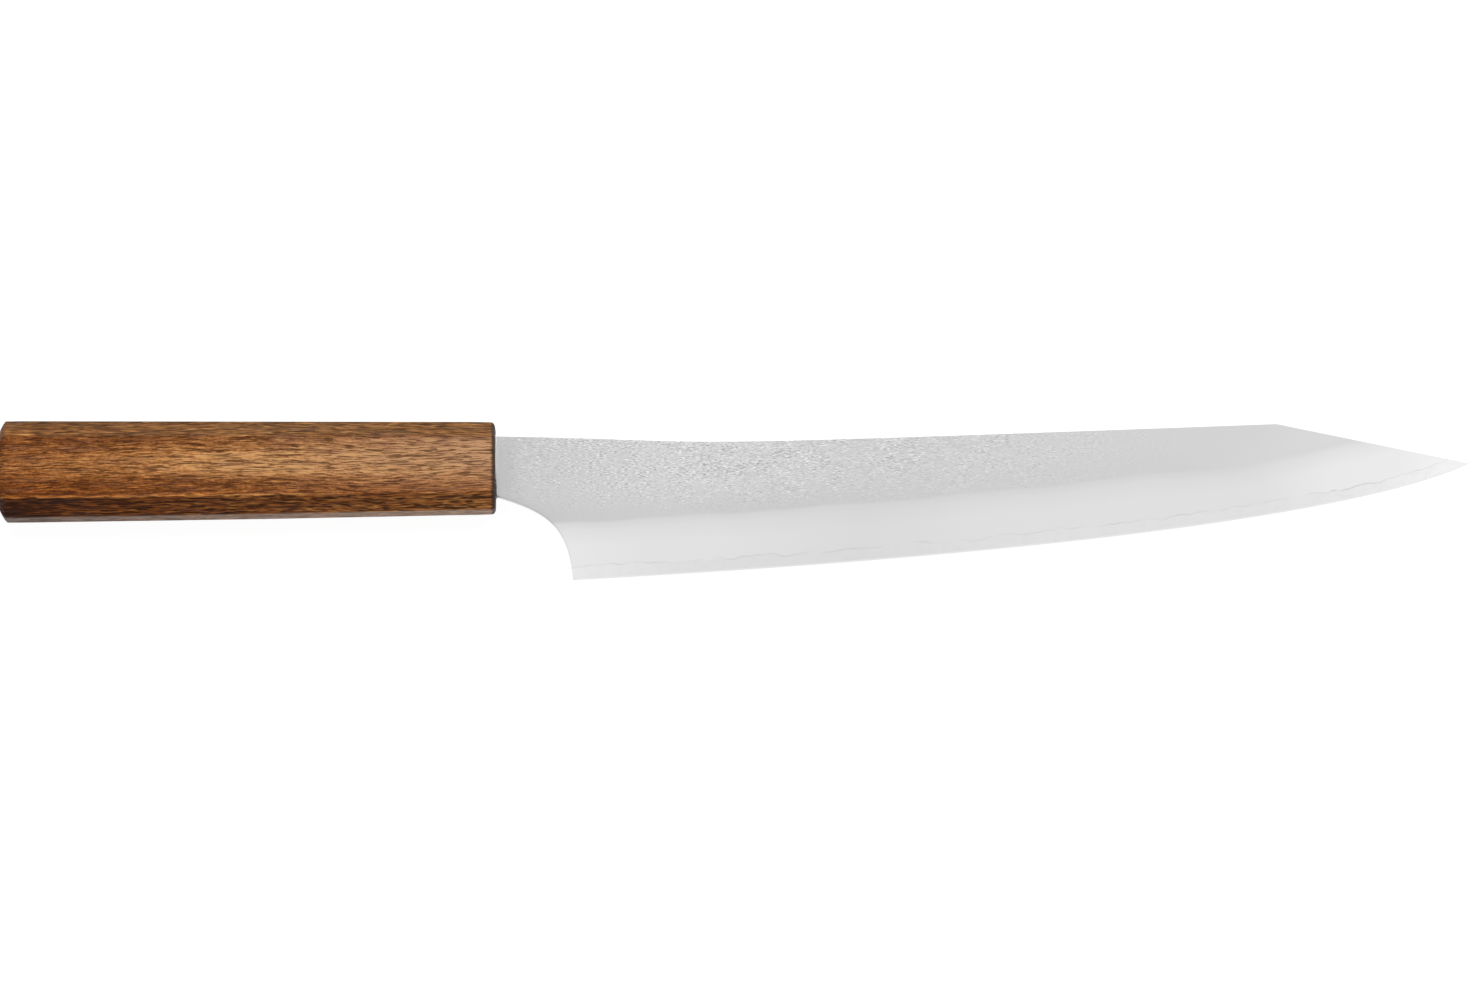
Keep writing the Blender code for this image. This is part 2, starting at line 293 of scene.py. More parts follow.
class Piece:
    """A mesh under construction, in the knife's own frame."""

    def __init__(self, name: str, frame: KnifeFrame) -> None:
        """Starts an empty mesh.

        Args:
            name: The piece's name.
            frame: Where the knife lies.
        """
        self.name = name
        self.frame = frame
        self.bm = bmesh.new()

    def mark(self, name: str, values: np.ndarray) -> None:
        """Stores one number at each vertex for the material to read.

        Args:
            name: The attribute's name.
            values: The numbers, in the vertices' order.
        """
        layer = self.bm.verts.layers.float.new(name)
        for vert, value in zip(self.bm.verts, values):
            vert[layer] = float(value)

    def second_face(self) -> list[Any]:
        """Extrudes the whole sheet into a wall, and gives the new face's vertices."""
        return new_verts(bmesh.ops.extrude_face_region(self.bm, geom=self.bm.faces[:]))

    def finish(self, side: Side = Side.RIGHT, sharp: float = 30.0) -> bpy.types.Object:
        """Merges doubles, carries the mesh to its place and turns its faces outwards.

        Args:
            side: The side of the blade that the piece lies on.
            sharp: Angle in degrees past which an edge stays sharp.

        Returns:
            The piece's object.
        """
        place = Matrix.Translation(self.frame.origin) @ Matrix.Diagonal((1, 1, side.value, 1))
        bmesh.ops.transform(self.bm, matrix=place, verts=self.bm.verts)
        bmesh.ops.remove_doubles(self.bm, verts=self.bm.verts, dist=TINY)
        bmesh.ops.recalc_face_normals(self.bm, faces=self.bm.faces)
        mesh = bpy.data.meshes.new(self.name)
        self.bm.to_mesh(mesh)
        self.bm.free()
        mesh.shade_smooth()
        mesh.set_sharp_from_angle(angle=math.radians(sharp))
        LOG.info("%s: %d faces", self.name, len(mesh.polygons))
        return set_down(self.name, mesh)


def hand_over(obj: bpy.types.Object, node: str, material: Any) -> None:
    """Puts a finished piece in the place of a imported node.

    Args:
        obj: The piece.
        node: The node that it stands for.
        material: Its material.
    """
    obj.data.materials.append(material)
    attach(obj, "root")
    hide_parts(node)


@dataclass(frozen=True)
class BladeForm:
    """The blade's outline and section, as forged, ground and cut."""

    tip_x: float
    heel_drop: float
    neck_length: float = 20.5 * MM
    neck_top: float = 8.45 * MM
    neck_bottom: float = 7.6 * MM
    shoulder_gap: float = 0.3 * MM
    tip_drop: float = 0.4 * MM
    clip_length: float = 51.3 * MM
    clip_top: float = 10.5 * MM
    spine_slopes: Pair = (-0.022, 0.031)
    spine_reach: Pair = (0.345, 0.90)
    edge_slopes: Pair = (0.048, 0.485)
    edge_reach: Pair = (0.81, 0.03)
    choil_out: float = 0.64
    choil_slope: float = 0.315
    choil_rise: float = 0.665
    choil_lean: float = 0.07
    tang_length: float = 88.0 * MM
    tang_root: float = 12.0 * MM
    tang_end: float = 6.0 * MM
    tang_end_thickness: float = 2.0 * MM
    neck_thickness: float = 3.0 * MM
    heel_thickness: float = 2.2 * MM
    corner_thickness: float = 1.4 * MM
    tip_thickness: float = 0.7 * MM
    bevel_width: float = 15.4 * MM
    bevel_dip: float = 1.1 * MM
    bevel_dip_back: float = 13.0 * MM
    bevel_dip_reach: float = 12.0 * MM
    bevel_tip_gain: float = 0.9 * MM
    bevel_tip_run: float = 20.0 * MM
    bevel_crown: float = 0.35
    road_sway: float = 0.2 * MM
    road_waves: tuple[Pair, ...] = ((6.3 * MM, 1.0), (2.7 * MM, 0.6))
    road_softness: float = 0.03 * MM
    edge_thickness: float = 0.2 * MM
    sharpening_slope: float = math.tan(math.radians(15))
    curve_steps: int = 240

    @property
    def corner_x(self) -> float:
        """Where the clip leaves the spine."""
        return self.tip_x - self.clip_length

    @property
    def tip(self) -> Pair:
        """The blade's point."""
        return (self.tip_x, -self.tip_drop)

    @property
    def heel(self) -> Pair:
        """The corner where the choil meets the edge."""
        return (self.neck_length, -self.heel_drop)

    def flowing(self, start: Pair, end: Pair, slopes: Pair, reach: Pair) -> np.ndarray:
        """A long curve that leaves and arrives at the given slopes.

        Args:
            start: Its first point.
            end: Its last point.
            slopes: Its slopes there.
            reach: How far each slope is felt, as shares of its span.

        Returns:
            The curve's points.
        """
        span = end[0] - start[0]
        out = span * reach[0]
        back = span * reach[1]
        leaving = (start[0] + out, start[1] + out * slopes[0])
        arriving = (end[0] - back, end[1] - back * slopes[1])
        return bezier([start, leaving, arriving, end], self.curve_steps)

    def top_line(self) -> np.ndarray:
        """The spine from the handle to its corner, and the straight clip to the tip.

        Returns:
            The line's points.
        """
        ends = ((0.0, self.neck_top), (self.corner_x, self.clip_top))
        spine = self.flowing(*ends, self.spine_slopes, self.spine_reach)
        share = np.linspace(0.0, 1.0, self.curve_steps + 1)[1:, None]
        return np.vstack([spine, spine[-1] + share * (np.array(self.tip) - spine[-1])])

    def edge_line(self) -> np.ndarray:
        """The cutting edge from heel to tip."""
        return self.flowing(self.heel, self.tip, self.edge_slopes, self.edge_reach)

    def choil_line(self) -> np.ndarray:
        """The cut-out under the neck, from the handle to the heel corner.

        Returns:
            The line's points.
        """
        out = self.choil_out * self.neck_length
        rise = self.choil_rise * (self.heel_drop - self.neck_bottom)
        leaving = (out, -self.neck_bottom - self.choil_slope * out)
        arriving = (self.neck_length - self.choil_lean * rise, rise - self.heel_drop)
        return bezier([(0.0, -self.neck_bottom), leaving, arriving, self.heel], self.curve_steps)

    def thickness(self, x: np.ndarray) -> np.ndarray:
        """Thickness over the flats: stout at the neck and drawn out to the tip.

        Args:
            x: Places along the blade.

        Returns:
            The thickness there.
        """
        places = (-self.tang_length, 0.0, self.neck_length, self.corner_x, self.tip_x)
        behind = (self.tang_end_thickness, self.neck_thickness, self.heel_thickness)
        return np.interp(x, places, (*behind, self.corner_thickness, self.tip_thickness))

    def road_height(self, x: np.ndarray) -> np.ndarray:
        """Height of the blade road above the edge, with the dip that hand grinding left.

        Args:
            x: Places along the blade.

        Returns:
            The height there.
        """
        past = x - self.corner_x
        dip = np.exp(-(((past + self.bevel_dip_back) / self.bevel_dip_reach) ** 2))
        to_tip = np.clip(past / self.bevel_tip_run, 0.0, 1.0)
        sway = sum(weight * np.sin(x / length) for length, weight in self.road_waves)
        straight = self.bevel_width + self.bevel_tip_gain * to_tip
        return straight - self.bevel_dip * dip + self.road_sway * sway

    def half_thickness(self, x: np.ndarray, height: np.ndarray) -> np.ndarray:
        """Half the ground blade's thickness.

        Args:
            x: Places along the blade.
            height: Heights above the edge there.

        Returns:
            The distance of the face from the middle plane.
        """
        flat = self.thickness(x) / 2
        edge_half = self.edge_thickness * flat / self.heel_thickness
        shoulder = edge_half / self.sharpening_slope
        share = (height - shoulder) / (self.road_height(x) - shoulder)
        on_bevel = np.minimum(share, 1.0)
        past = (1 - self.bevel_crown) * (share - on_bevel)
        rise = on_bevel * (1 + self.bevel_crown * (1 - on_bevel)) + past
        ground = edge_half + rise * (flat - edge_half)
        blend = np.clip(1 - np.abs(ground - flat) / self.road_softness, 0.0, 1.0)
        soft = np.minimum(ground, flat) - blend**2 * self.road_softness / 4
        honed = np.maximum(height, 0.0) * self.sharpening_slope
        return np.where(height < shoulder, honed, soft)


@dataclass(frozen=True)
class BladeWork:
    """How the blade is finished by hand, and how finely it is drawn."""

    bare_height: float = 3.2 * MM
    bare_wander: float = 1.0 * MM
    # Each wave of the forged joint: its length, its place in the noise and its weight.
    joint_waves: tuple[Triple, ...] = (
        (17.0 * MM, 0.5, 0.4), (5.3 * MM, 7.5, 0.6), (1.9 * MM, 3.5, 0.4),
    )
    # Width and depth of a rounded rim, and how much of a thin wall it may take.
    choil_round: Pair = (0.8 * MM, 0.2 * MM)
    spine_round: Pair = (0.35 * MM, 0.3 * MM)
    round_share: float = 0.85
    layer_gap: float = 0.002 * MM
    place_step: float = 0.2 * MM
    heel_column_x: float = 30.0 * MM
    choil_columns: int = 90
    edge_columns: int = 500
    bevel_rows: int = 26
    flat_rows: int = 26
    strip_rows: int = 5
    slab_rows: int = 16
    # How far up a column the road and the honed shoulder may lie, and the least strip between.
    road_limits: Pair = (0.3, 0.93)
    shoulder_limits: Pair = (0.004, 0.5)
    least_strip: float = 0.02


class Blade:
    """The forged blade: a hard core between two soft stainless claddings."""

    def __init__(self, frame: KnifeFrame) -> None:
        """Works out the lines that all three layers share.

        Args:
            frame: Where the knife lies.
        """
        self.frame = frame
        self.form = BladeForm(frame.tip_x, frame.heel_drop)
        self.work = BladeWork()
        self.top = self.form.top_line()
        self.choil = self.form.choil_line()
        self.edge = self.form.edge_line()
        heel_slope = self.edge[1] - self.edge[0]
        run_back = self.edge[0] - heel_slope / heel_slope[0] * (2 * self.form.tang_length)
        self.edge_run = np.vstack([run_back, self.edge])
        self.places = np.arange(-self.form.tang_length, self.form.tip_x, self.work.place_step)
        self.bare = {side: self.joint_wander(side) for side in Side}

    def build(self) -> None:
        """Makes the three layers and puts them in the place of their nodes."""
        steel = PearSkinStainless().material()
        hand_over(self.cladding(Side.RIGHT), "right_cladding", steel)
        hand_over(self.cladding(Side.LEFT), "left_cladding", steel)
        hand_over(self.core(), "core_steel", GroundCoreSteel().material())

    def joint_wander(self, side: Side) -> np.ndarray:
        """Height above the edge at which a forged joint comes out on the bevel.

        Args:
            side: The side of the blade.

        Returns:
            One height for each of the places along the blade.
        """
        heights = np.zeros(len(self.places))
        for length, place, weight in self.work.joint_waves:
            points = (Vector((x / length, side.value, place)) for x in self.places)
            heights += weight * np.array([noise.noise(point) for point in points])
        return self.work.bare_height + self.work.bare_wander * heights

    def height_above_edge(self, points: np.ndarray) -> np.ndarray:
        """Heights of points above the cutting edge."""
        return points[:, 1] - np.interp(points[:, 0], *self.edge_run.T)

    def joint(self, x: np.ndarray, side: Side) -> np.ndarray:
        """Distance of a forged joint from the blade's middle plane."""
        return self.form.half_thickness(x, np.interp(x, self.places, self.bare[side]))

    def climb(self, lower: np.ndarray, upper: np.ndarray, height: np.ndarray) -> np.ndarray:
        """How far up each column a height above the edge is reached.

        Args:
            lower: The columns' lower ends.
            upper: The columns' upper ends.
            height: The height wanted on each column.

        Returns:
            Shares of the columns' lengths, which may lie outside 0 and 1.
        """
        foot = self.height_above_edge(lower)
        head = self.height_above_edge(upper)
        return (height - foot) / np.maximum(head - foot, TINY)

    def columns(self, foot: np.ndarray, top: np.ndarray) -> tuple[np.ndarray, np.ndarray]:
        """Lower and upper ends of the columns that the faces are drawn on.

        Args:
            foot: The line below the blade from the heel's corner to the tip.
            top: The line above the blade.

        Returns:
            The lower ends and the upper ends.
        """
        gap = self.form.shoulder_gap
        heel_x = self.work.heel_column_x
        choil = self.choil[(self.choil[:, 0] > gap) & (self.choil[:, 1] > foot[0, 1])]
        below = np.vstack([[gap, np.interp(gap, *self.choil.T)], choil, foot[0]])
        split = [heel_x, np.interp(heel_x, *top.T)]
        back = top[(top[:, 0] > gap) & (top[:, 0] < heel_x)]
        above = np.vstack([[gap, np.interp(gap, *top.T)], back, split])
        front = np.vstack([split, top[top[:, 0] > heel_x]])
        counts = (self.work.choil_columns + 1, self.work.edge_columns + 1)
        lower = np.vstack([evenly(below, counts[0])[:-1], evenly(foot, counts[1])])
        upper = np.vstack([evenly(above, counts[0])[:-1], evenly(front, counts[1])])
        return lower, upper

    def sheet(
        self, name: str, lower: np.ndarray, upper: np.ndarray, shares: list[np.ndarray]
    ) -> tuple[Piece, np.ndarray, np.ndarray]:
        """Lays a grid over one face of the blade and grows the tang from its back end.

        Args:
            name: The piece's name.
            lower: Lower ends of the grid's columns.
            upper: Their upper ends.
            shares: How far up each column the rows lie, from the lowest row to the highest.

        Returns:
            The piece as a sheet on the middle plane, and its vertices' places and heights.
        """
        points = lower + np.vstack(shares)[:, :, None] * (upper - lower)
        rows, columns = points.shape[:2]
        root = self.form.tang_root / 2
        for edge in (-root, root):
            nearest = int(np.argmin(np.abs(points[:, 0, 1] - edge)))
            points[nearest, 0, 1] = edge
        piece = Piece(name, self.frame)
        bmesh.ops.create_grid(piece.bm, x_segments=columns - 1, y_segments=rows - 1, size=1)
        for vert in piece.bm.verts:
            column = round((vert.co.x + 1) / 2 * (columns - 1))
            row = round((vert.co.y + 1) / 2 * (rows - 1))
            vert.co = (*points[row, column], 0.0)
        self.grow_tang(piece.bm)
        places = plane_points(piece.bm.verts)
        piece.mark("from_handle", places[:, 0] / MM)
        return piece, places, self.height_above_edge(places)

    def grow_tang(self, bm: Any) -> None:
        """Extrudes the tang from the middle of the sheet's back end.

        Args:
            bm: The sheet's mesh.
        """
        root = self.form.tang_root / 2
        back_x = self.form.shoulder_gap + TINY
        back = [v for v in bm.verts if v.co.x < back_x and abs(v.co.y) < root + TINY]
        narrowing = self.form.tang_end / self.form.tang_root
        for x, scale in ((0.0, 1.0), (-self.form.tang_length, narrowing)):
            back = grow(bm, back)
            for vert in back:
                vert.co = (x, vert.co.y * scale, 0.0)

    def feather(self, side: Side) -> tuple[np.ndarray, np.ndarray]:
        """The line along which a cladding thins out on the bevel, and the line above it.

        Args:
            side: The side of the blade.

        Returns:
            The cladding's lower line and its upper line, which meet near the tip.
        """
        line = np.column_stack([self.places, np.interp(self.places, *self.edge_run.T)])
        line[:, 1] += self.bare[side]
        room = self.choil[:, 1] - np.interp(self.choil[:, 0], *line.T)
        start = run_until(self.choil, room)[-1]
        line = np.vstack([start, line[line[:, 0] > start[0] + TINY]])
        line = run_until(line, np.interp(line[:, 0], *self.top.T) - line[:, 1])
        top = self.top[self.top[:, 0] < line[-1, 0] - TINY]
        return line, np.vstack([top, line[-1]])

    def cladding(self, side: Side) -> bpy.types.Object:
        """One cladding: a pear-skin flat, a satin bevel, and a feather edge at the joint.

        Args:
            side: The side of the blade.

        Returns:
            The finished piece.
        """
        lower, upper = self.columns(*self.feather(side))
        road = self.climb(lower, upper, self.form.road_height(lower[:, 0]))
        road = np.clip(road, *self.work.road_limits)[None, :]
        low_turn = np.linspace(0.0, QUARTER_TURN, self.work.bevel_rows + 1)[:, None]
        high_turn = np.linspace(0.0, QUARTER_TURN, self.work.flat_rows + 1)[1:, None]
        shares = [road * (1 - np.cos(low_turn)), road + (1 - road) * np.sin(high_turn)]
        name = f"{side.name.lower()}_cladding_steel"
        piece, points, height = self.sheet(name, lower, upper, shares)
        x = points[:, 0]
        piece.mark("above_road", (height - self.form.road_height(x)) / MM)
        piece.mark("above_joint", (height - np.interp(x, self.places, self.bare[side])) / MM)
        set_depths(piece.bm.verts, self.rounded_face(points, self.joint(x, side)))
        inner = piece.second_face()
        set_depths(inner, self.joint(plane_points(inner)[:, 0], side))
        return piece.finish(side)

    def rounded_face(self, points: np.ndarray, joint: np.ndarray) -> np.ndarray:
        """Distance of the outer face from the middle plane, its rims rounded by hand.

        Args:
            points: Places on the face.
            joint: Distance of the forged joint there.

        Returns:
            One distance for each place.
        """
        face = self.form.half_thickness(points[:, 0], self.height_above_edge(points))
        most = self.work.round_share * np.maximum(face - joint, 0.0)
        rims = ((self.choil, self.work.choil_round), (self.top, self.work.spine_round))
        for line, (width, depth) in rims:
            near = np.clip(1 - distance_to(line, points) / width, 0.0, 1.0)
            face = face - np.minimum(depth, most) * (1 - np.sqrt(1 - near**2))
        return face

    def core(self) -> bpy.types.Object:
        """The hard core: bare along the edge, and a thin slab between the claddings.

        Returns:
            The finished piece.
        """
        form, work = self.form, self.work
        lower, upper = self.columns(self.edge, self.top)
        along = lower[:, 0]
        honed = form.edge_thickness / 2 / form.sharpening_slope
        honed *= form.thickness(along) / form.heel_thickness
        shoulder = np.clip(self.climb(lower, upper, honed), *work.shoulder_limits)
        bare = np.interp(along, self.places, self.bare[Side.RIGHT])
        bare = self.climb(lower, upper, bare)
        bare = np.clip(bare, shoulder + work.least_strip, work.road_limits[1])
        strip = np.linspace(0.0, 1.0, work.strip_rows + 1)[:, None]
        slab = np.linspace(0.0, 1.0, work.slab_rows + 1)[1:, None]
        shares = [np.zeros((1, len(lower))), shoulder + strip * (bare - shoulder)]
        shares.append(bare + slab * (1 - bare))
        piece, points, height = self.sheet("edge_core_steel", lower, upper, shares)
        piece.mark("above_edge", height / MM)
        set_depths(piece.bm.verts, self.core_face(points, Side.RIGHT))
        left = piece.second_face()
        set_depths(left, -self.core_face(plane_points(left), Side.LEFT))
        return piece.finish()

    def core_face(self, points: np.ndarray, side: Side) -> np.ndarray:
        """Distance of the core's face from the middle plane."""
        ground = self.form.half_thickness(points[:, 0], self.height_above_edge(points))
        return np.minimum(ground, self.joint(points[:, 0], side) - self.work.layer_gap)


@dataclass(frozen=True)
class Handle:
    """The one-piece octagonal handle, tapered towards the blade."""

    frame: KnifeFrame
    butt_size: Pair = (25.78 * MM, 19.11 * MM)
    butt_corner: float = 4.75 * MM
    front_size: Pair = (23.7 * MM, 17.4 * MM)
    front_corner: float = 4.2 * MM
    butt_ease: Pair = (1.7 * MM, 3.2 * MM)
    butt_fullness: float = 1.2
    butt_side_share: float = 0.3
    butt_low_share: float = 0.75
    belly: float = 0.27 * MM
    belly_run: Pair = (-62.0 * MM, -12.0 * MM)
    front_ease: Pair = (1.1 * MM, 1.5 * MM)
    front_fullness: float = 2.0
    arris_round: float = 0.45 * MM
    slot_size: Pair = (14.2 * MM, 5.2 * MM)
    slot_depth: float = 89.1 * MM
    station_pitch: float = 4.0 * MM
    ease_steps: int = 10
    arris_steps: int = 4
    facet_cuts: int = 6
    slot_steps: int = 32
    # The lowest line, the lower arris, the upper arris and the highest line, for the finish.
    across_marks: tuple[float, ...] = (-2.0, -1.0, 1.0, 2.0)

    def build(self) -> None:
        """Makes the handle and puts it in the place of its node."""
        hand_over(self.body(), "handle_body", ScorchedOak().material())

    def corners(self, x: float, inset: float) -> list[Pair]:
        """The eight corners of a section.

        Args:
            x: Its place, from the front face backwards.
            inset: How far its top and bottom are drawn in by the rounding of an end.

        Returns:
            Its corners, as pairs of y and z.
        """
        taper = np.clip((x + self.front_ease[0]) / (self.ends[0] + self.front_ease[0]), 0, 1)
        height = self.front_size[0] + taper * (self.butt_size[0] - self.front_size[0])
        width = self.front_size[1] + taper * (self.butt_size[1] - self.front_size[1])
        corner = self.front_corner + taper * (self.butt_corner - self.front_corner)
        at_butt = x < self.ends[0]
        side = inset * (self.butt_side_share if at_butt else 1.0)
        low = inset * (self.butt_low_share if at_butt else 1.0)
        # The slanting facet is drawn in as far as its two neighbours are on average.
        corner -= (2 - math.sqrt(2)) * (inset + side) / 2
        y = height / 2 - inset
        z = width / 2 - side
        fuller = np.interp(x, self.belly_run, (self.belly, 0.0)) + inset - low
        quarter = [(y, z - corner), (y - corner, z)]
        upper = quarter + [(-a - fuller, b) for a, b in quarter[::-1]]
        return upper + [(a, -b) for a, b in upper[::-1]]

    @property
    def ends(self) -> Pair:
        """Where the taper starts behind and ends in front."""
        return (self.butt_ease[0] - self.frame.handle_length, -self.front_ease[0])

    def ease(self, size: Pair, fullness: float) -> list[Pair]:
        """The profile of an eased end.

        Args:
            size: Its length and its depth.
            fullness: 1 for a straight chamfer and 2 for a quarter of an ellipse.

        Returns:
            Distances from the end, each with how far the section is drawn in there.
        """
        turns = np.linspace(0.0, QUARTER_TURN, self.ease_steps + 1)
        along = size[0] * (1 - np.cos(turns) ** (2 / fullness))
        drawn_in = size[1] * (1 - np.sin(turns) ** (2 / fullness))
        return list(zip(along.tolist(), drawn_in.tolist()))

    def stations(self) -> list[Pair]:
        """Places along the handle where its section is drawn.

        Returns:
            The places, each with how far the section is drawn in there.
        """
        back = -self.frame.handle_length
        butt = [(back + x, inset) for x, inset in self.ease(self.butt_ease, self.butt_fullness)]
        front = [(-x, inset) for x, inset in self.ease(self.front_ease, self.front_fullness)]
        count = round((self.ends[1] - self.ends[0]) / self.station_pitch)
        body = [(float(x), 0.0) for x in np.linspace(*self.ends, count + 1)[1:-1]]
        return butt + body + front[::-1]

    def body(self) -> bpy.types.Object:
        """Draws the sections out into the handle, rounds its arrises and cuts its slot.

        Returns:
            The finished piece.
        """
        piece = Piece("oak_handle", self.frame)
        bm = piece.bm
        which = bm.verts.layers.int.new("corner")
        sections = [
            [(x, *corner) for corner in self.corners(x, inset)] for x, inset in self.stations()
        ]
        ring = bmesh.ops.create_circle(bm, segments=len(sections[0]), radius=1)["verts"]
        for index, vert in enumerate(ring):
            vert[which] = index
        for section, verts in zip(sections, grow_rings(bm, ring, len(sections))):
            for vert in verts:
                vert.co = section[vert[which]]
        bmesh.ops.bevel(
            bm,
            geom=[e for e in bm.edges if abs(e.verts[0].co.x - e.verts[1].co.x) > TINY],
            offset=self.arris_round,
            affect="EDGES",
            segments=self.arris_steps,
            profile=0.5,
            material=-1,
        )
        across = [
            e
            for e in bm.edges
            if abs(e.verts[0].co.x - e.verts[1].co.x) < TINY
            and e.calc_length() > 2 * self.arris_round
        ]
        bmesh.ops.subdivide_edges(bm, edges=across, cuts=self.facet_cuts, use_grid_fill=True)
        rims = [e for e in bm.edges if e.is_boundary]
        butt_rim = [e for e in rims if e.verts[0].co.x < self.ends[0]]
        front_rim = [e for e in rims if e.verts[0].co.x > self.ends[1]]
        bmesh.ops.contextual_create(bm, geom=butt_rim)
        self.cut_slot(bm, front_rim)
        self.mark_places(piece)
        return piece.finish()

    def mark_places(self, piece: Piece) -> None:
        """Marks each vertex's place up the handle and along it, and how far behind the front.

        Args:
            piece: The handle.
        """
        across = []
        for vert in piece.bm.verts:
            corners = sorted({y for y, _ in self.corners(vert.co.x, 0.0)})
            across.append(np.interp(vert.co.y, corners, self.across_marks))
        along = 1 + np.array([vert.co.x for vert in piece.bm.verts]) / self.frame.handle_length
        piece.mark("across", np.array(across))
        piece.mark("along", along)
        piece.mark("from_front", (1 - along) * self.frame.handle_length / MM)

    def cut_slot(self, bm: Any, front_rim: list[Any]) -> None:
        """Joins the front rim to the mouth of the tang slot and sinks the slot.

        Args:
            bm: The handle's mesh.
            front_rim: The edges round its open front.
        """
        mouth = turned_ring(bm, self.slot_steps, self.slot_size[1] / 2)
        straight = (self.slot_size[0] - self.slot_size[1]) / 2
        for vert in mouth:
            y = vert.co.y + math.copysign(straight, vert.co.y)
            vert.co = (0.0, y, vert.co.x)
        bmesh.ops.bridge_loops(bm, edges=front_rim + ring_edges(mouth))
        bottom = grow(bm, mouth)
        bmesh.ops.translate(bm, verts=bottom, vec=(-self.slot_depth, 0, 0))
        bmesh.ops.contextual_create(bm, geom=ring_edges(bottom))


@dataclass(frozen=True)
class MouthSeal:
    """The bead of clear sealant wiped round the neck on the handle's mouth."""

    frame: KnifeFrame
    neck_top: float = BladeForm.neck_top
    neck_bottom: float = BladeForm.neck_bottom
    neck_half: float = BladeForm.neck_thickness / 2
    neck_corner: float = 0.2 * MM
    reach: Pair = (0.35 * MM, 1.4 * MM)
    height: float = 0.15 * MM
    # Its section, as how far out from the neck and how far off the handle it stands.
    section: tuple[Pair, ...] = (
        (0.0, 0.0), (0.02, 0.85), (0.25, 1.0), (0.6, 0.85), (0.88, 0.45), (1.0, 0.0),
    )
    blob: float = 1.5
    blob_size: float = 1.0 * MM
    ripple: float = 0.18
    ripple_size: float = 1.1 * MM
    corner_steps: int = 48

    def build(self) -> None:
        """Makes the bead and puts it in the place of its node."""
        hand_over(self.bead(), "mouth_seal", Sealant().material())

    def bead(self) -> bpy.types.Object:
        """Sweeps the bead's rounded section round the neck.

        Returns:
            The finished piece.
        """
        piece = Piece("sealant_bead", self.frame)
        bm = piece.bm
        turn = bm.verts.layers.float.new("turn")
        first = turned_ring(bm, self.corner_steps, 1.0)
        for vert in first:
            vert[turn] = math.atan2(vert.co.y, vert.co.x)
        rings = grow_rings(bm, first, len(self.section))
        for (out, up), verts in zip(self.section, rings):
            for vert in verts:
                vert.co = self.place(vert[turn], out, up)
        bmesh.ops.bridge_loops(bm, edges=ring_edges(rings[0]) + ring_edges(rings[-1]))
        heights = np.array([vert.co.y for vert in bm.verts])
        piece.mark("gathered", np.exp(-(((heights + self.neck_bottom) / self.blob_size) ** 2)))
        return piece.finish(sharp=50.0)

    def place(self, turn: float, out: float, up: float) -> Triple:
        """A point of the bead.

        Args:
            turn: Angle round the neck.
            out: How far out from the neck, as a share of the bead's reach.
            up: How far off the handle, as a share of the bead's height.

        Returns:
            Its place.
        """
        middle = (self.neck_top - self.neck_bottom) / 2
        half = (self.neck_top + self.neck_bottom) / 2 + out * self.reach[0]
        wide = self.neck_half + out * self.reach[1]
        radius = self.neck_corner + out * self.reach[0]
        y = radius * math.sin(turn) + math.copysign(half - radius, math.sin(turn))
        z = radius * math.cos(turn) + math.copysign(wide - radius, math.cos(turn))
        swell = 1 + self.blob * math.exp(-(((y + half) / self.blob_size) ** 2))
        ripple = 1 + self.ripple * noise.noise(Vector((y, z, 0.0)) / self.ripple_size)
        return (up * self.height * swell * ripple, y + middle, z)


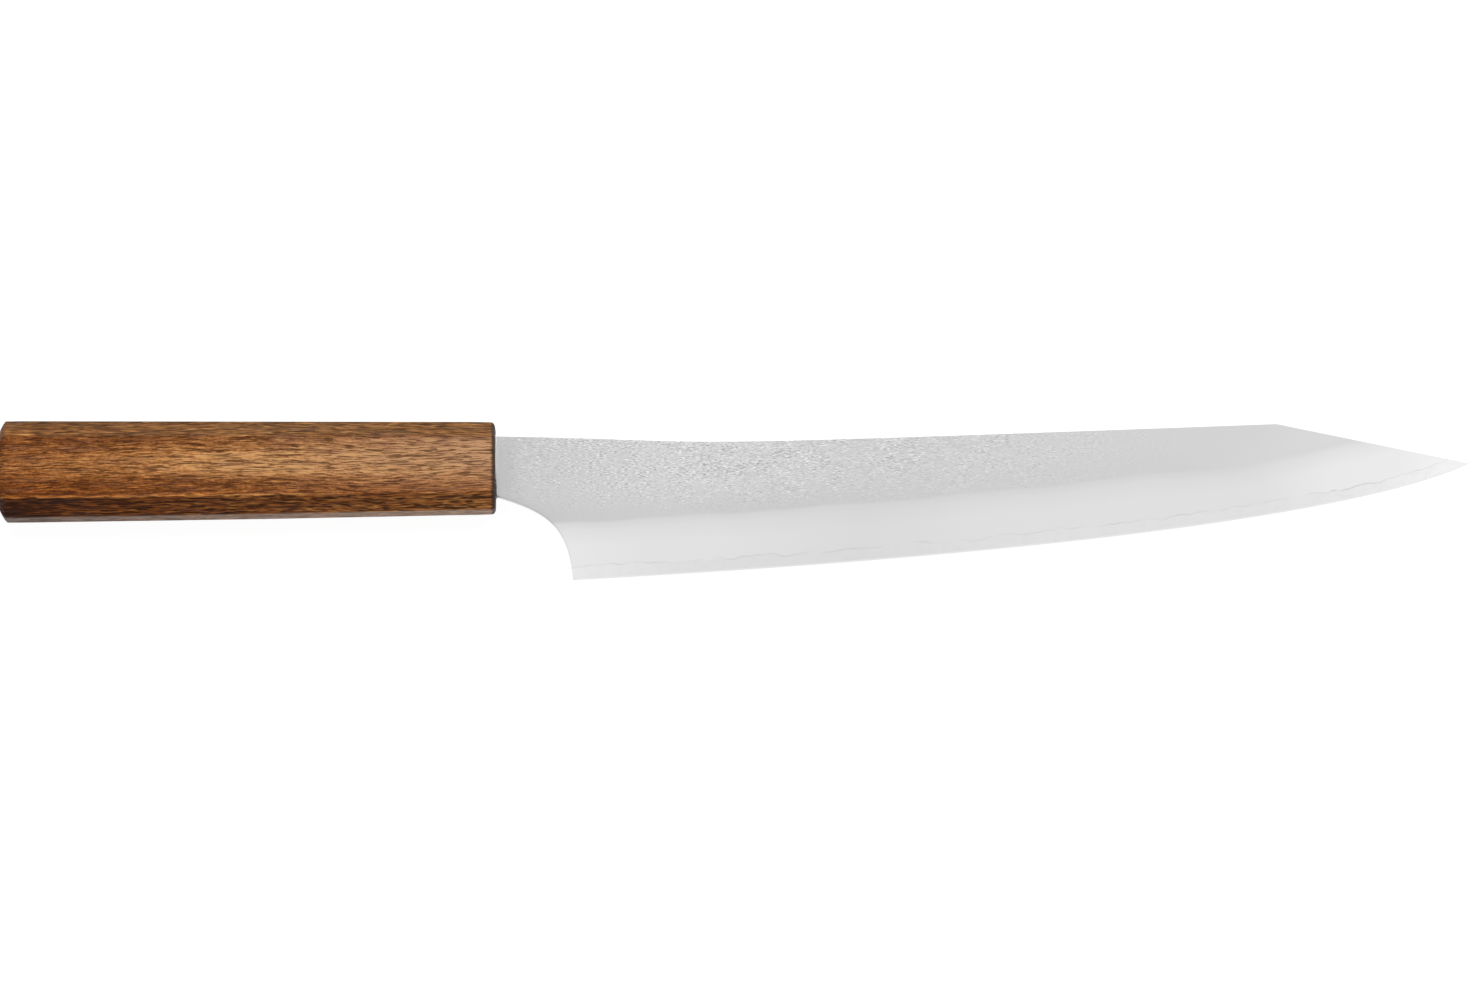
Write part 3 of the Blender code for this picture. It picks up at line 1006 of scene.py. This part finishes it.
class Finish:
    """A finish under construction: its material, its shader and what it reads at each point."""

    def __init__(self, name: str, fixed: dict[str, Any], marks: tuple[str, ...] = ()) -> None:
        """Starts a material.

        Args:
            name: Its name.
            fixed: Values of the shader's own sockets.
            marks: Names of the numbers that it reads from its piece.
        """
        self.made = bpy.data.materials.new(name)
        self.made.use_nodes = True
        self.tree = self.made.node_tree
        self.add = partial(add_node, self.tree)
        self.shader = self.tree.nodes["Principled BSDF"]
        for socket, value in fixed.items():
            self.shader.inputs[socket].default_value = value
        self.place = self.add("TexCoord", out="Object")
        self.marks = [self.add("Attribute", attribute_name=mark, out="Fac") for mark in marks]

    def bent(self, length: float, height: float, sway: float, place: Any = None) -> Any:
        """Bends the place of each point up and down, so that lines run in soft waves.

        Args:
            length: How long a wave is along the knife.
            height: How far up and down it stays in step.
            sway: How far it may carry a point.
            place: What is bent, or the plain place.

        Returns:
            The bent place.
        """
        wave = self.grain(length, height, 0.0, out="Color")
        inputs = (wave, (0.0, sway, sway), place or self.place)
        return self.add("VectorMath", inputs, operation="MULTIPLY_ADD")

    def grain(
        self, length: float, height: float, detail: float, place: Any = None, out: str = "Fac"
    ) -> Any:
        """Makes noise that is drawn out along the knife, as wood grain and forging are.

        Args:
            length: Its size along the knife.
            height: Its size across the knife. It is deeper through the knife, as grain is in a
                board cut on the quarter.
            detail: How many finer layers it has.
            place: Where it is read, or the plain place.
            out: Whether its number or its colour is wanted.

        Returns:
            The noise, which stays near 0.5.
        """
        scale = (1 / length, 1 / height, THROUGH / height)
        drawn = self.add("Mapping", {"Vector": place or self.place, "Scale": scale})
        return self.add("TexNoise", {"Vector": drawn, "Scale": 1.0, "Detail": detail}, out=out)

    def zone(self, *bounds: tuple[Any, ...]) -> Any:
        """How far inside a zone each point lies, by several numbers that all have to be in reach.

        Args:
            bounds: For each number, the number itself, its values where the zone starts and is
                full, and where they aren't 0 and 1 the shares that it has there.

        Returns:
            The shares, multiplied together.
        """
        share, *others = [self.add("MapRange", bound) for bound in bounds]
        for other in others:
            share = self.add("Math", (share, other), operation="MULTIPLY")
        return share

    def shades(self, value: Any, stops: Stops) -> Any:
        """Turns a number into a shade that is blended between stops.

        Args:
            value: The number.
            stops: Its values, with their shades.

        Returns:
            The shade.
        """
        first = stops[0][0]
        last = stops[-1][0]
        share = self.add("MapRange", (value, first, last))
        shade = self.add("ValToRGB", (share,), out="Color")
        elements = shade.node.color_ramp.elements
        while len(elements) < len(stops):
            elements.new(1.0)
        for element, (place, tint) in zip(elements, stops):
            element.position = (place - first) / (last - first)
            element.color = to_linear(tint) if isinstance(tint, str) else (tint, tint, tint, 1.0)
        return shade

    def coats(self, ground: Any, *coats: tuple[Any, Coat]) -> Any:
        """Lays coats of colour over one another.

        Args:
            ground: The colour under them.
            coats: For each, the number that it follows and the coat.

        Returns:
            The colour on top.
        """
        for value, (reach, hides, tint) in coats:
            share = self.add("MapRange", (value, *reach, 0.0, hides))
            tint = to_linear(tint) if isinstance(tint, str) else tint
            inputs = {0: share, 6: ground, 7: tint}
            ground = self.add("Mix", inputs, out=2, data_type="RGBA")
        return ground

    def complete(self, colour: Any, roughness: Any, relief: Any, depth: float) -> Any:
        """Joins the patterns to the shader.

        Args:
            colour: Base colour.
            roughness: Roughness.
            relief: Pattern that raises the surface.
            depth: How far it raises it.

        Returns:
            The finished material.
        """
        raised = self.add("Bump", {"Height": relief, "Distance": depth})
        for socket, value in (("Base Color", colour), ("Roughness", roughness), ("Normal", raised)):
            self.tree.links.new(value, self.shader.inputs[socket])
        return self.made


@dataclass(frozen=True)
class PearSkinStainless:
    """Soft stainless cladding: pear-skin flats as hammered and blasted, satin bevels.

    The pear skin is painted with short pale and dark flecks, thickest towards the heel and the
    spine: painted glints on its raised bumps and painted shade in its pits. The bevels are brought
    to a satin along the blade, so they are plain and brighter; their tone along the blade,
    brightest at the heel and the tip, is partly painted reflection. The flat is painted brighter
    just in front of the handle, as a painted highlight that offsets the handle's dark reflection.
    The satin's own scratches are too fine to show, so they are drawn coarser. Places along the
    blade are in millimetres from the handle, and heights are in millimetres above the blade
    road or the forged joint.
    """

    # The first stops paint the flat brighter just in front of the handle: a painted highlight that
    # offsets the handle's dark reflection in the steel.
    flat_low: Stops = (
        (0.3, "dddddd"), (2.8, "c9c9c9"), (20.0, "d3d3d3"), (46.0, "d6d6d6"),
        (76.0, "d3d3d3"), (134.0, "d7d7d7"), (183.0, "d9d9d9"), (222.0, "e2e2e2"),
    )
    flat_high: Stops = (
        (0.3, "eaeaea"), (1.4, "dddddd"), (2.8, "d3d3d3"), (4.2, "d0d0d0"), (9.0, "d4d4d4"),
        (44.0, "dbdbdb"), (108.0, "d8d8d8"), (203.0, "dcdcdc"), (222.0, "e2e2e2"),
    )
    flat_rise: Pair = (2.0, 8.0)
    # Tone along the blade, brightest at the heel and the tip: partly painted reflection.
    bevel: Stops = (
        (20.0, "ececec"), (40.0, "e7e7e7"), (60.0, "e6e6e6"), (98.0, "dfdfdf"), (131.0, "e4e4e4"),
        (204.0, "e5e5e5"), (222.0, "eeeeee"), (241.0, "f0f0f0"), (255.0, "f8f8f8"),
    )
    road_blend: Pair = (-0.6, 0.5)
    wide_shade: Coat = ((-6.5, -1.0), 0.45, "d6d6d6")
    narrow_shade: Coat = ((-2.2, 0.0), 0.6, "d6d6d6")
    joint_shade: Coat = (WHOLE, 0.5, "c4c4c4")
    joint_reach: Pair = (0.55, 0.1)
    joint_patch: Triple = (9.0 * MM, 60.0 * MM, 2.0)
    joint_breaks: Pair = (0.4, 0.62)
    joint_shares: Stops = (
        (20.0, 0.9), (190.0, 0.9), (203.0, 1.0), (214.0, 1.0), (226.0, 0.45), (250.0, 0.25),
    )
    fleck: Triple = (0.95 * MM, 0.135 * MM, 1.0)
    fleck_wave: Triple = (3.0 * MM, 3.0 * MM, 0.15 * MM)
    # Painted shade and painted glints of the pear skin: dark flecks in its pits, pale flecks on its
    # raised bumps.
    painted_shade_flecks: tuple[Pair, str] = ((0.43, 0.28), "aaaaaa")
    painted_glint_flecks: tuple[Pair, str] = ((0.58, 0.71), "ffffff")
    fleck_shares: Stops = (
        (0.0, 0.4), (12.0, 0.85), (24.0, 1.7), (60.0, 1.65),
        (98.0, 0.95), (125.0, 0.95), (158.0, 0.4), (195.0, 0.0),
    )
    fleck_rise: Pair = (2.0, 16.0)
    fleck_lean: float = 0.045
    patch_size: float = 4.0 * MM
    patch_shares: Range = (0.36, 0.64, 0.6, 1.4)
    scratch: Triple = (18.0 * MM, 0.3 * MM, 3.0)
    scratch_share: float = 0.2
    skin_depth: float = 0.02 * MM
    roughness: Pair = (0.34, 0.48)

    def material(self) -> Any:
        """Builds the material, which tells flat from bevel by the piece's attributes.

        Returns:
            The material.
        """
        marks = ("above_road", "from_handle", "above_joint")
        steel = Finish("pear_skin_stainless", {"Metallic": 1.0}, marks)
        add = steel.add
        road, along, _ = steel.marks
        flecks = steel.grain(*self.fleck, steel.bent(*self.fleck_wave))
        strength = self.strength(steel)
        high = (self.flat_rise, 1.0, steel.shades(along, self.flat_high))
        skin = steel.coats(steel.shades(along, self.flat_low), (road, high))
        # Lays the painted shade and painted glints of the pear skin as dark and pale flecks.
        for reach, tint in (self.painted_shade_flecks, self.painted_glint_flecks):
            share = add("MapRange", (flecks, *reach))
            share = add("Math", (share, strength), operation="MULTIPLY")
            skin = steel.coats(skin, (share, (WHOLE, 1.0, tint)))
        on_flat = add("MapRange", (road, *self.road_blend), interpolation_type="SMOOTHSTEP")
        colour = steel.coats(self.satin(steel), (on_flat, (WHOLE, 1.0, skin)))
        roughness = add("MapRange", (on_flat, *WHOLE, *self.roughness))
        worn = add("Math", (flecks, strength), operation="MULTIPLY")
        scratches = steel.grain(*self.scratch)
        faint = add("Math", (scratches, self.scratch_share), operation="MULTIPLY")
        relief = add("Mix", {0: on_flat, 2: faint, 3: worn}, data_type="FLOAT")
        return steel.complete(colour, roughness, relief, self.skin_depth)

    def strength(self, steel: Finish) -> Any:
        """How strongly the pear skin shows: thinner towards road, neck and tip.

        Args:
            steel: The finish under construction.

        Returns:
            A number from 0 to about 2.4.
        """
        road, along, _ = steel.marks
        inputs = {"Vector": steel.place, "Scale": 1 / self.patch_size, "Detail": 1.0}
        patches = steel.add("TexNoise", inputs)
        above = steel.add("Math", (along, self.fleck_lean, road), operation="MULTIPLY_ADD")
        share = steel.zone((patches, *self.patch_shares), (above, *self.fleck_rise))
        shown = steel.shades(along, self.fleck_shares)
        return steel.add("Math", (share, shown), operation="MULTIPLY")

    def satin(self, steel: Finish) -> Any:
        """Colour of the bevel: greyer under the road, with a broken line at the joint.

        Args:
            steel: The finish under construction.

        Returns:
            The colour.
        """
        road, along, joint = steel.marks
        patches = steel.grain(*self.joint_patch)
        line = steel.zone((joint, *self.joint_reach), (patches, *self.joint_breaks))
        shown = steel.shades(along, self.joint_shares)
        line = steel.add("Math", (line, shown), operation="MULTIPLY")
        shades = ((road, self.wide_shade), (road, self.narrow_shade), (line, self.joint_shade))
        return steel.coats(steel.shades(along, self.bevel), *shades)


@dataclass(frozen=True)
class GroundCoreSteel:
    """Hard core steel, ground with the bevel and honed: nearly the satin cladding's tone.

    Its scratches are drawn coarser than grinding leaves them, because those are too fine to
    show. Places along the blade are in millimetres from the handle, and heights are in
    millimetres above the edge.
    """

    # Tone along the blade, brightest at the heel and the tip: partly painted reflection, as on the
    # satin bevel.
    ground: Stops = (
        (20.0, "eeeeee"), (47.0, "e4e4e4"), (97.0, "dfdfdf"), (140.0, "e5e5e5"),
        (204.0, "e6e6e6"), (233.0, "eeeeee"), (256.0, "f9f9f9"),
    )
    cloudy: Coat = ((0.45, 0.75), 0.2, "d4d4d4")
    cloud_size: float = 2.5 * MM
    honed: Coat = ((0.5, 0.3), 0.6, "eeeeee")
    roughness: Pair = (0.34, 0.2)
    scratch: Triple = (12.0 * MM, 0.25 * MM, 3.0)
    scratch_depth: float = 0.005 * MM

    def material(self) -> Any:
        """Builds the material, which finds the honed edge by the piece's attribute.

        Returns:
            The material.
        """
        marks = ("above_edge", "from_handle")
        steel = Finish("ground_core_steel", {"Metallic": 1.0}, marks)
        edge, along = steel.marks
        inputs = {"Vector": steel.place, "Scale": 1 / self.cloud_size, "Detail": 4.0}
        clouds = steel.add("TexNoise", inputs)
        ground = steel.shades(along, self.ground)
        colour = steel.coats(ground, (clouds, self.cloudy), (edge, self.honed))
        roughness = steel.add("MapRange", (edge, *self.honed[0], *self.roughness))
        return steel.complete(colour, roughness, steel.grain(*self.scratch), self.scratch_depth)


@dataclass(frozen=True)
class ScorchedOak:
    """Oak scorched brown, brushed along the grain and sealed with a thin matt lacquer.

    Brushing leaves the open pores as short dark lines between golden streaks. Scorching goes
    deepest at the arrises and at the butt, whose end it turns dark brown, and chars the eased
    front end nearly black. The tones across the handle run from 0 at its lowest line, past the
    lower arris at 0.25 and the upper arris at 0.75, to 1 at its highest line. They are partly
    painted light: the pale band along the middle of each side is a painted sheen, and the lower
    facets are darker partly as painted shade. The lower arris carries a painted highlight, and
    the lowest flat a painted reflection of the white floor. Reaches across the handle have the
    arrises at -1 and 1 and its lowest and highest lines at -2 and 2, and those along it run from
    0 at the butt to 1 at the front.
    """

    tones: Stops = (
        (0.0, "2c1509"), (0.25, "593317"), (0.5, "835128"), (0.75, "a97242"), (1.0, "cb9661"),
    )
    # Tones across the handle, partly painted light: the peak in the middle of each side is a
    # painted sheen, and the low values on the lower facets are partly painted shade.
    butt_tones: Stops = (
        (0.0, 0.40), (0.23, 0.37), (0.27, 0.45), (0.38, 0.46), (0.5, 0.66),
        (0.61, 0.62), (0.68, 0.44), (0.76, 0.42), (0.95, 0.41), (1.0, 0.22),
    )
    middle_tones: Stops = (
        (0.0, 0.59), (0.23, 0.54), (0.27, 0.54), (0.38, 0.58), (0.5, 1.0),
        (0.61, 0.90), (0.68, 0.60), (0.76, 0.49), (0.95, 0.48), (1.0, 0.28),
    )
    front_tones: Stops = (
        (0.0, 0.92), (0.23, 0.74), (0.27, 0.66), (0.38, 0.69), (0.5, 0.95),
        (0.61, 0.92), (0.70, 0.89), (0.76, 0.50), (0.95, 0.49), (1.0, 0.28),
    )
    to_middle: Pair = (0.15, 0.45)
    to_front: Pair = (0.55, 0.9)
    tone_wander: float = 0.9
    tone_reach: Pair = (-1.55, 2.45)
    lower_facet: Pair = (-0.95, -1.05)
    upper_facet: Pair = (0.95, 1.05)
    facet_contrast: Pair = (1.0, 1.25)
    upper_contrast: float = 0.4
    # How far the figure, the streaks and the fibres change the tone, and the flecks of the sides.
    pattern_weights: Triple = (0.35, 0.45, 1.0)
    fleck_weight: float = 0.4
    # A painted highlight along the lower arris, where its rounding would catch the light; it fades
    # out towards the front.
    painted_arris_highlight: Range = (0.09, 0.03, 0.0, 0.45)
    arris_highlight_behind: Pair = (0.75, 0.5)
    scorched_butt: Pair = (0.14, 0.02)
    scorched_under: Pair = (-0.95, -1.1)
    scorched_weight: float = -0.3
    amber: str = "ffe6bd"
    amber_behind: Range = (0.5, 0.0, 0.0, 0.6)
    amber_low: Range = (-0.2, -1.0, 0.0, 0.8)
    faded: Coat = (WHOLE, 0.4, "ae8e79")
    faded_side: Pair = (1.05, 0.9)
    faded_upward: Range = (-0.9, 0.2, 0.4, 1.0)
    faded_front: Pair = (0.5, 1.0)
    mauve: Coat = ((0.5, 0.72), 0.35, "5f423c")
    olive: Coat = ((0.95, 1.1), 0.25, "6f5a30")
    pore: Coat = (WHOLE, 0.75, "3c1e0d")
    burnt_pore: Coat = (WHOLE, 0.45, "180a04")
    # A painted reflection of the white floor in the lacquer of the lowest flat, paler towards the
    # front.
    painted_floor_reflection: Coat = (WHOLE, 1.0, "c3a894")
    floor_reflection_strip: Pair = (-1.93, -2.0)
    floor_reflection_shares: Range = (0.0, 1.0, 0.16, 0.56)
    butt_end: Coat = ((0.014, 0.0), 0.55, "4a2410")
    charred: Coat = ((1.7, 1.05), 0.9, "332b28")
    char_wander: float = 0.9
    # Each kind of bend: length, height and sway. Each kind of grain: length, height and detail.
    wave: Triple = (32.0 * MM, 9.0 * MM, 2.4 * MM)
    crinkle: Triple = (3.2 * MM, 1.0 * MM, 0.42 * MM)
    figure: Triple = (60.0 * MM, 3.2 * MM, 2.0)
    blotch: Triple = (14.0 * MM, 1.4 * MM, 1.0)
    streak: Triple = (14.0 * MM, 0.9 * MM, 2.0)
    fibre: Triple = (3.6 * MM, 0.3 * MM, 1.0)
    fleck: Triple = (0.75 * MM, 0.4 * MM, 0.0)
    # Pores, then vessels: their grain, where it is deep enough, and its shift low down.
    openings: tuple[tuple[Triple, Pair, float], ...] = (
        ((4.6 * MM, 0.3 * MM, 1.0), (0.44, 0.38), -0.02),
        ((10.0 * MM, 0.4 * MM, 1.0), (0.40, 0.34), -0.035),
    )
    pore_depth: float = 0.05 * MM
    roughness: Pair = (0.48, 0.7)

    def material(self) -> Any:
        """Builds the material from noise drawn out along the grain.

        Returns:
            The material.
        """
        marks = ("across", "along", "from_front")
        oak = Finish("scorched_oak", {"Specular IOR Level": 0.12}, marks)
        add = oak.add
        across, along, behind = oak.marks
        wavy = oak.bent(*self.wave)
        crinkled = oak.bent(*self.crinkle, wavy)
        fibres = oak.grain(*self.fibre, crinkled)
        colour = self.hue(oak, wavy, self.tone(oak, wavy, fibres))
        low = add("MapRange", (across, *self.lower_facet))
        kinds = []
        for grain, reach, shift in self.openings:
            lines = oak.grain(*grain, crinkled)
            lines = add("Math", (low, shift, lines), operation="MULTIPLY_ADD")
            kinds.append(add("MapRange", (lines, *reach)))
        in_pore = add("Math", kinds, operation="MAXIMUM")
        burnt = add("Math", (in_pore, low), operation="MULTIPLY")
        ragged = add("Math", (fibres, self.char_wander, behind), operation="MULTIPLY_ADD")
        # A painted reflection of the white floor: the lowest flat is paler, more so towards the
        # front.
        below = oak.zone((across, *self.floor_reflection_strip), (along, *self.floor_reflection_shares))
        colour = oak.coats(
            colour,
            (in_pore, self.pore),
            (burnt, self.burnt_pore),
            (below, self.painted_floor_reflection),
            (along, self.butt_end),
            (ragged, self.charred),
        )
        roughness = add("MapRange", (in_pore, *WHOLE, *self.roughness))
        raised = add("Math", (1.0, in_pore), operation="SUBTRACT")
        return oak.complete(colour, roughness, raised, self.pore_depth)

    def tone(self, oak: Finish, wavy: Any, fibres: Any) -> Any:
        """How pale the wood is: by its place on the handle, its figure and its fibres.

        Args:
            oak: The finish under construction.
            wavy: The place of each point, bent as the grain is.
            fibres: The fibres' noise.

        Returns:
            A number from 0, burnt dark, to 1, golden.
        """
        add = oak.add
        across, along, _ = oak.marks
        figure = oak.grain(*self.figure, wavy)
        wander = add("Math", (figure, self.tone_wander, across), operation="MULTIPLY_ADD")
        # Partly painted light: a painted sheen along the middle of each side and painted shade on
        # the lower facets, wandering with the figure.
        up = add("MapRange", (wander, *self.tone_reach))
        middle = (self.to_middle, 1.0, oak.shades(up, self.middle_tones))
        front = (self.to_front, 1.0, oak.shades(up, self.front_tones))
        tone = oak.coats(oak.shades(up, self.butt_tones), (along, middle), (along, front))
        aside = add("Math", (across,), operation="ABSOLUTE")
        facet = add("MapRange", (aside, *self.upper_facet))
        flat = add("Math", (1.0, facet), operation="SUBTRACT")
        flecks = add("Math", (oak.grain(*self.fleck), 0.5), operation="SUBTRACT")
        flecks = add("Math", (flecks, flat), operation="MULTIPLY")
        tone = add("Math", (flecks, self.fleck_weight, tone), operation="MULTIPLY_ADD")
        contrast = add("MapRange", (facet, *WHOLE, *self.facet_contrast))
        upper = add("MapRange", (across, *self.upper_facet, 0.0, self.upper_contrast))
        contrast = add("Math", (contrast, upper), operation="ADD")
        patterns = (figure, oak.grain(*self.streak, wavy), fibres)
        for pattern, weight in zip(patterns, self.pattern_weights):
            varied = add("Math", (pattern, weight, -weight / 2), operation="MULTIPLY_ADD")
            tone = add("Math", (varied, contrast, tone), operation="MULTIPLY_ADD")
        # A painted highlight along the lower arris: paler tone where its rounding would catch the
        # light, fading out towards the front.
        beside = add("Math", (across, 1.0), operation="ADD")
        beside = add("Math", (beside,), operation="ABSOLUTE")
        painted_arris_highlight = oak.zone((beside, *self.painted_arris_highlight), (along, *self.arris_highlight_behind))
        tone = add("Math", (painted_arris_highlight, tone), operation="ADD")
        scorched = oak.zone((along, *self.scorched_butt), (across, *self.scorched_under))
        return add("Math", (scorched, self.scorched_weight, tone), operation="MULTIPLY_ADD")

    def hue(self, oak: Finish, wavy: Any, tone: Any) -> Any:
        """Colour of the wood: amber low and at the butt, faded at the front, mauve in blotches.

        Args:
            oak: The finish under construction.
            wavy: The place of each point, bent as the grain is.
            tone: How pale the wood is.

        Returns:
            The colour.
        """
        add = oak.add
        across, along, _ = oak.marks
        shares = [add("MapRange", (along, *self.amber_behind))]
        shares.append(add("MapRange", (across, *self.amber_low)))
        warm = add("Math", shares, operation="ADD", use_clamp=True)
        inputs = {0: warm, 6: oak.shades(tone, self.tones), 7: to_linear(self.amber)}
        colour = add("Mix", inputs, out=2, data_type="RGBA", blend_type="MULTIPLY")
        aside = add("Math", (across,), operation="ABSOLUTE")
        worn = oak.zone(
            (aside, *self.faded_side), (across, *self.faded_upward), (along, *self.faded_front)
        )
        blotches = oak.grain(*self.blotch, wavy)
        coats = ((worn, self.faded), (blotches, self.mauve), (across, self.olive))
        return oak.coats(colour, *coats)


@dataclass(frozen=True)
class Sealant:
    """Clear silicone wiped thin round the neck: pale over the wood, darker where it gathers."""

    tints: Stops = ((0.0, "efedeb"), (1.0, "3a322e"))
    darker_reach: Pair = (0.7, 1.0)
    darker_wander: float = 0.4
    ripple: float = 0.7 * MM
    ripple_depth: float = 0.03 * MM
    roughness: Pair = (0.3, 0.45)

    def material(self) -> Any:
        """Builds the material, which finds the gathered end by the piece's attribute.

        Returns:
            The material.
        """
        silicone = Finish("clear_silicone", {"IOR": 1.43}, ("gathered",))
        add = silicone.add
        inputs = {"Vector": silicone.place, "Scale": 1 / self.ripple, "Detail": 3.0}
        ripple = add("TexNoise", inputs)
        # The bead is darker where it gathers at the neck's lower corner.
        uneven = (ripple, self.darker_wander, *silicone.marks)
        uneven = add("Math", uneven, operation="MULTIPLY_ADD")
        darkening = add("MapRange", (uneven, *self.darker_reach))
        colour = silicone.shades(darkening, self.tints)
        roughness = add("MapRange", (darkening, *WHOLE, *self.roughness))
        return silicone.complete(colour, roughness, ripple, self.ripple_depth)


@dataclass(frozen=True)
class CuredEpoxy:
    """Amber epoxy round the tang, poured and cured: clouded by fine trapped bubbles.

    The bubbles are drawn coarse enough to show.
    """

    tints: Stops = ((0.0, "b8a47c"), (1.0, "cdbf9f"))
    bubble: float = 0.6 * MM
    bubble_depth: float = 0.03 * MM
    roughness: Pair = (0.25, 0.4)

    def material(self) -> Any:
        """Builds the material.

        Returns:
            The material.
        """
        epoxy = Finish("cured_epoxy", {"IOR": 1.55})
        inputs = {"Vector": epoxy.place, "Scale": 1 / self.bubble}
        bubbles = epoxy.add("TexVoronoi", inputs, out="Distance")
        colour = epoxy.shades(bubbles, self.tints)
        roughness = epoxy.add("MapRange", (bubbles, *WHOLE, *self.roughness))
        return epoxy.complete(colour, roughness, bubbles, self.bubble_depth)


@dataclass(frozen=True)
class Studio:
    """A pale floor, a large soft lamp overhead, and the camera."""

    camera_distance: float = 3.0
    camera_tilt: float = math.radians(8.0)
    camera_roll: float = math.radians(0.3817)
    frame_width: float = 0.39205
    sensor: float = 36.0
    far_clip: float = 20.0
    aim: Triple = (-0.00002, 0.00226, 0.0096)
    lamp_size: float = 1.2
    lamp_place: Triple = (0.0, 0.75, 1.1)
    lamp_power: float = 18.0
    fill: float = 0.42
    room_lean: float = math.radians(25.0)
    room_reach: Pair = (-0.1, 0.9)
    room_dark: float = 0.62
    floor_size: float = 8.0
    floor_colour: str = "e6e6e6"
    floor_seen: str = "686868"
    floor_lift: float = 0.95

    def build(self) -> None:
        """Sets up the camera, the world, the floor and the lamp."""
        self.place_camera()
        self.light_world()
        self.lay_floor()
        self.hang_lamp()
        bpy.context.scene.view_settings.view_transform = "Standard"

    def place_camera(self) -> None:
        """Looks down on the knife, a little from below its edge."""
        data = bpy.data.cameras.new("camera")
        data.sensor_width = self.sensor
        data.lens = self.sensor * self.camera_distance / self.frame_width
        data.clip_end = self.far_clip
        camera = set_down("camera", data)
        back = Vector((0.0, -math.sin(self.camera_tilt), math.cos(self.camera_tilt)))
        right = Vector((math.cos(self.camera_roll), -math.sin(self.camera_roll), 0.0))
        up = back.cross(right).normalized()
        right = up.cross(back)
        turned = Matrix((right, up, back)).transposed().to_4x4()
        place = Vector(self.aim) + self.camera_distance * back
        camera.matrix_world = Matrix.Translation(place) @ turned
        bpy.context.scene.camera = camera

    def light_world(self) -> None:
        """A white room, a little greyer low down, that fills matt surfaces more weakly."""
        world = bpy.data.worlds.new("studio")
        world.use_nodes = True
        bpy.context.scene.world = world
        tree = world.node_tree
        add = partial(add_node, tree)
        direction = add("TexCoord", out="Generated")
        lean = (0.0, math.sin(self.room_lean), math.cos(self.room_lean))
        height = add("VectorMath", (direction, lean), out="Value", operation="DOT_PRODUCT")
        bounds = (height, *self.room_reach, self.room_dark)
        shade = add("MapRange", bounds, interpolation_type="SMOOTHSTEP")
        share = add("MapRange", (self.rays(tree, *MIRROR_RAYS), *WHOLE, self.fill))
        lit = add("Math", (shade, share), operation="MULTIPLY")
        seen = self.rays(tree, "Is Camera Ray")
        strength = add("Math", (lit, seen), operation="MAXIMUM")
        background = tree.nodes["Background"]
        tree.links.new(strength, background.inputs["Strength"])
        background.inputs["Color"].default_value = WHITE

    def rays(self, tree: Any, *kinds: str) -> Any:
        """Tells rays of the given kinds from all others.

        Args:
            tree: The node tree.
            kinds: Their names, as the light path gives them.

        Returns:
            1 for those rays, else 0.
        """
        path = add_node(tree, "LightPath").node.outputs
        told = path[kinds[0]]
        for kind in kinds[1:]:
            told = add_node(tree, "Math", (told, path[kind]), operation="MAXIMUM")
        return told

    def lay_floor(self) -> None:
        """A white floor that keeps the knife's shadow and looks white to the camera."""
        bm = bmesh.new()
        bmesh.ops.create_grid(bm, x_segments=1, y_segments=1, size=self.floor_size / 2)
        mesh = bpy.data.meshes.new("floor")
        bm.to_mesh(mesh)
        bm.free()
        floor = set_down("floor", mesh)
        fixed = {"Roughness": 0.9, "Specular IOR Level": 0.0, "Emission Color": WHITE}
        paper = Finish("white_paper", fixed)
        seen = self.rays(paper.tree, "Is Camera Ray", *MIRROR_RAYS)
        inputs = {0: seen, 6: to_linear(self.floor_colour), 7: to_linear(self.floor_seen)}
        colour = paper.add("Mix", inputs, out=2, data_type="RGBA")
        lift = paper.add("MapRange", (seen, *WHOLE, 0.0, self.floor_lift))
        paper.tree.links.new(colour, paper.shader.inputs["Base Color"])
        paper.tree.links.new(lift, paper.shader.inputs["Emission Strength"])
        mesh.materials.append(paper.made)

    def hang_lamp(self) -> None:
        """A broad softbox overhead, set back towards the spine."""
        data = bpy.data.lights.new("softbox", "AREA")
        data.shape = "SQUARE"
        data.size = self.lamp_size
        data.energy = self.lamp_power
        lamp = set_down("softbox", data)
        lamp.location = self.lamp_place
        lamp.rotation_euler = Vector(self.lamp_place).to_track_quat("Z", "Y").to_euler()
        lamp.visible_camera = False
        lamp.visible_glossy = False


def dress_bedding(nodes: dict[str, Any]) -> None:
    """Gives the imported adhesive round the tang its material.

    Args:
        nodes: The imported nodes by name.
    """
    material = CuredEpoxy().material()
    for slot in nodes["tang_bedding"].material_slots:
        slot.material = material


def main() -> None:
    """Builds the knife's pieces in order and sets up the studio."""
    logging.basicConfig(level=logging.INFO, format="%(name)s: %(message)s")
    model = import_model()
    frame = KnifeFrame.from_model()
    Studio().build()
    Blade(frame).build()
    Handle(frame).build()
    MouthSeal(frame).build()
    dress_bedding(model["nodes"])


if __name__ == "__main__":
    main()
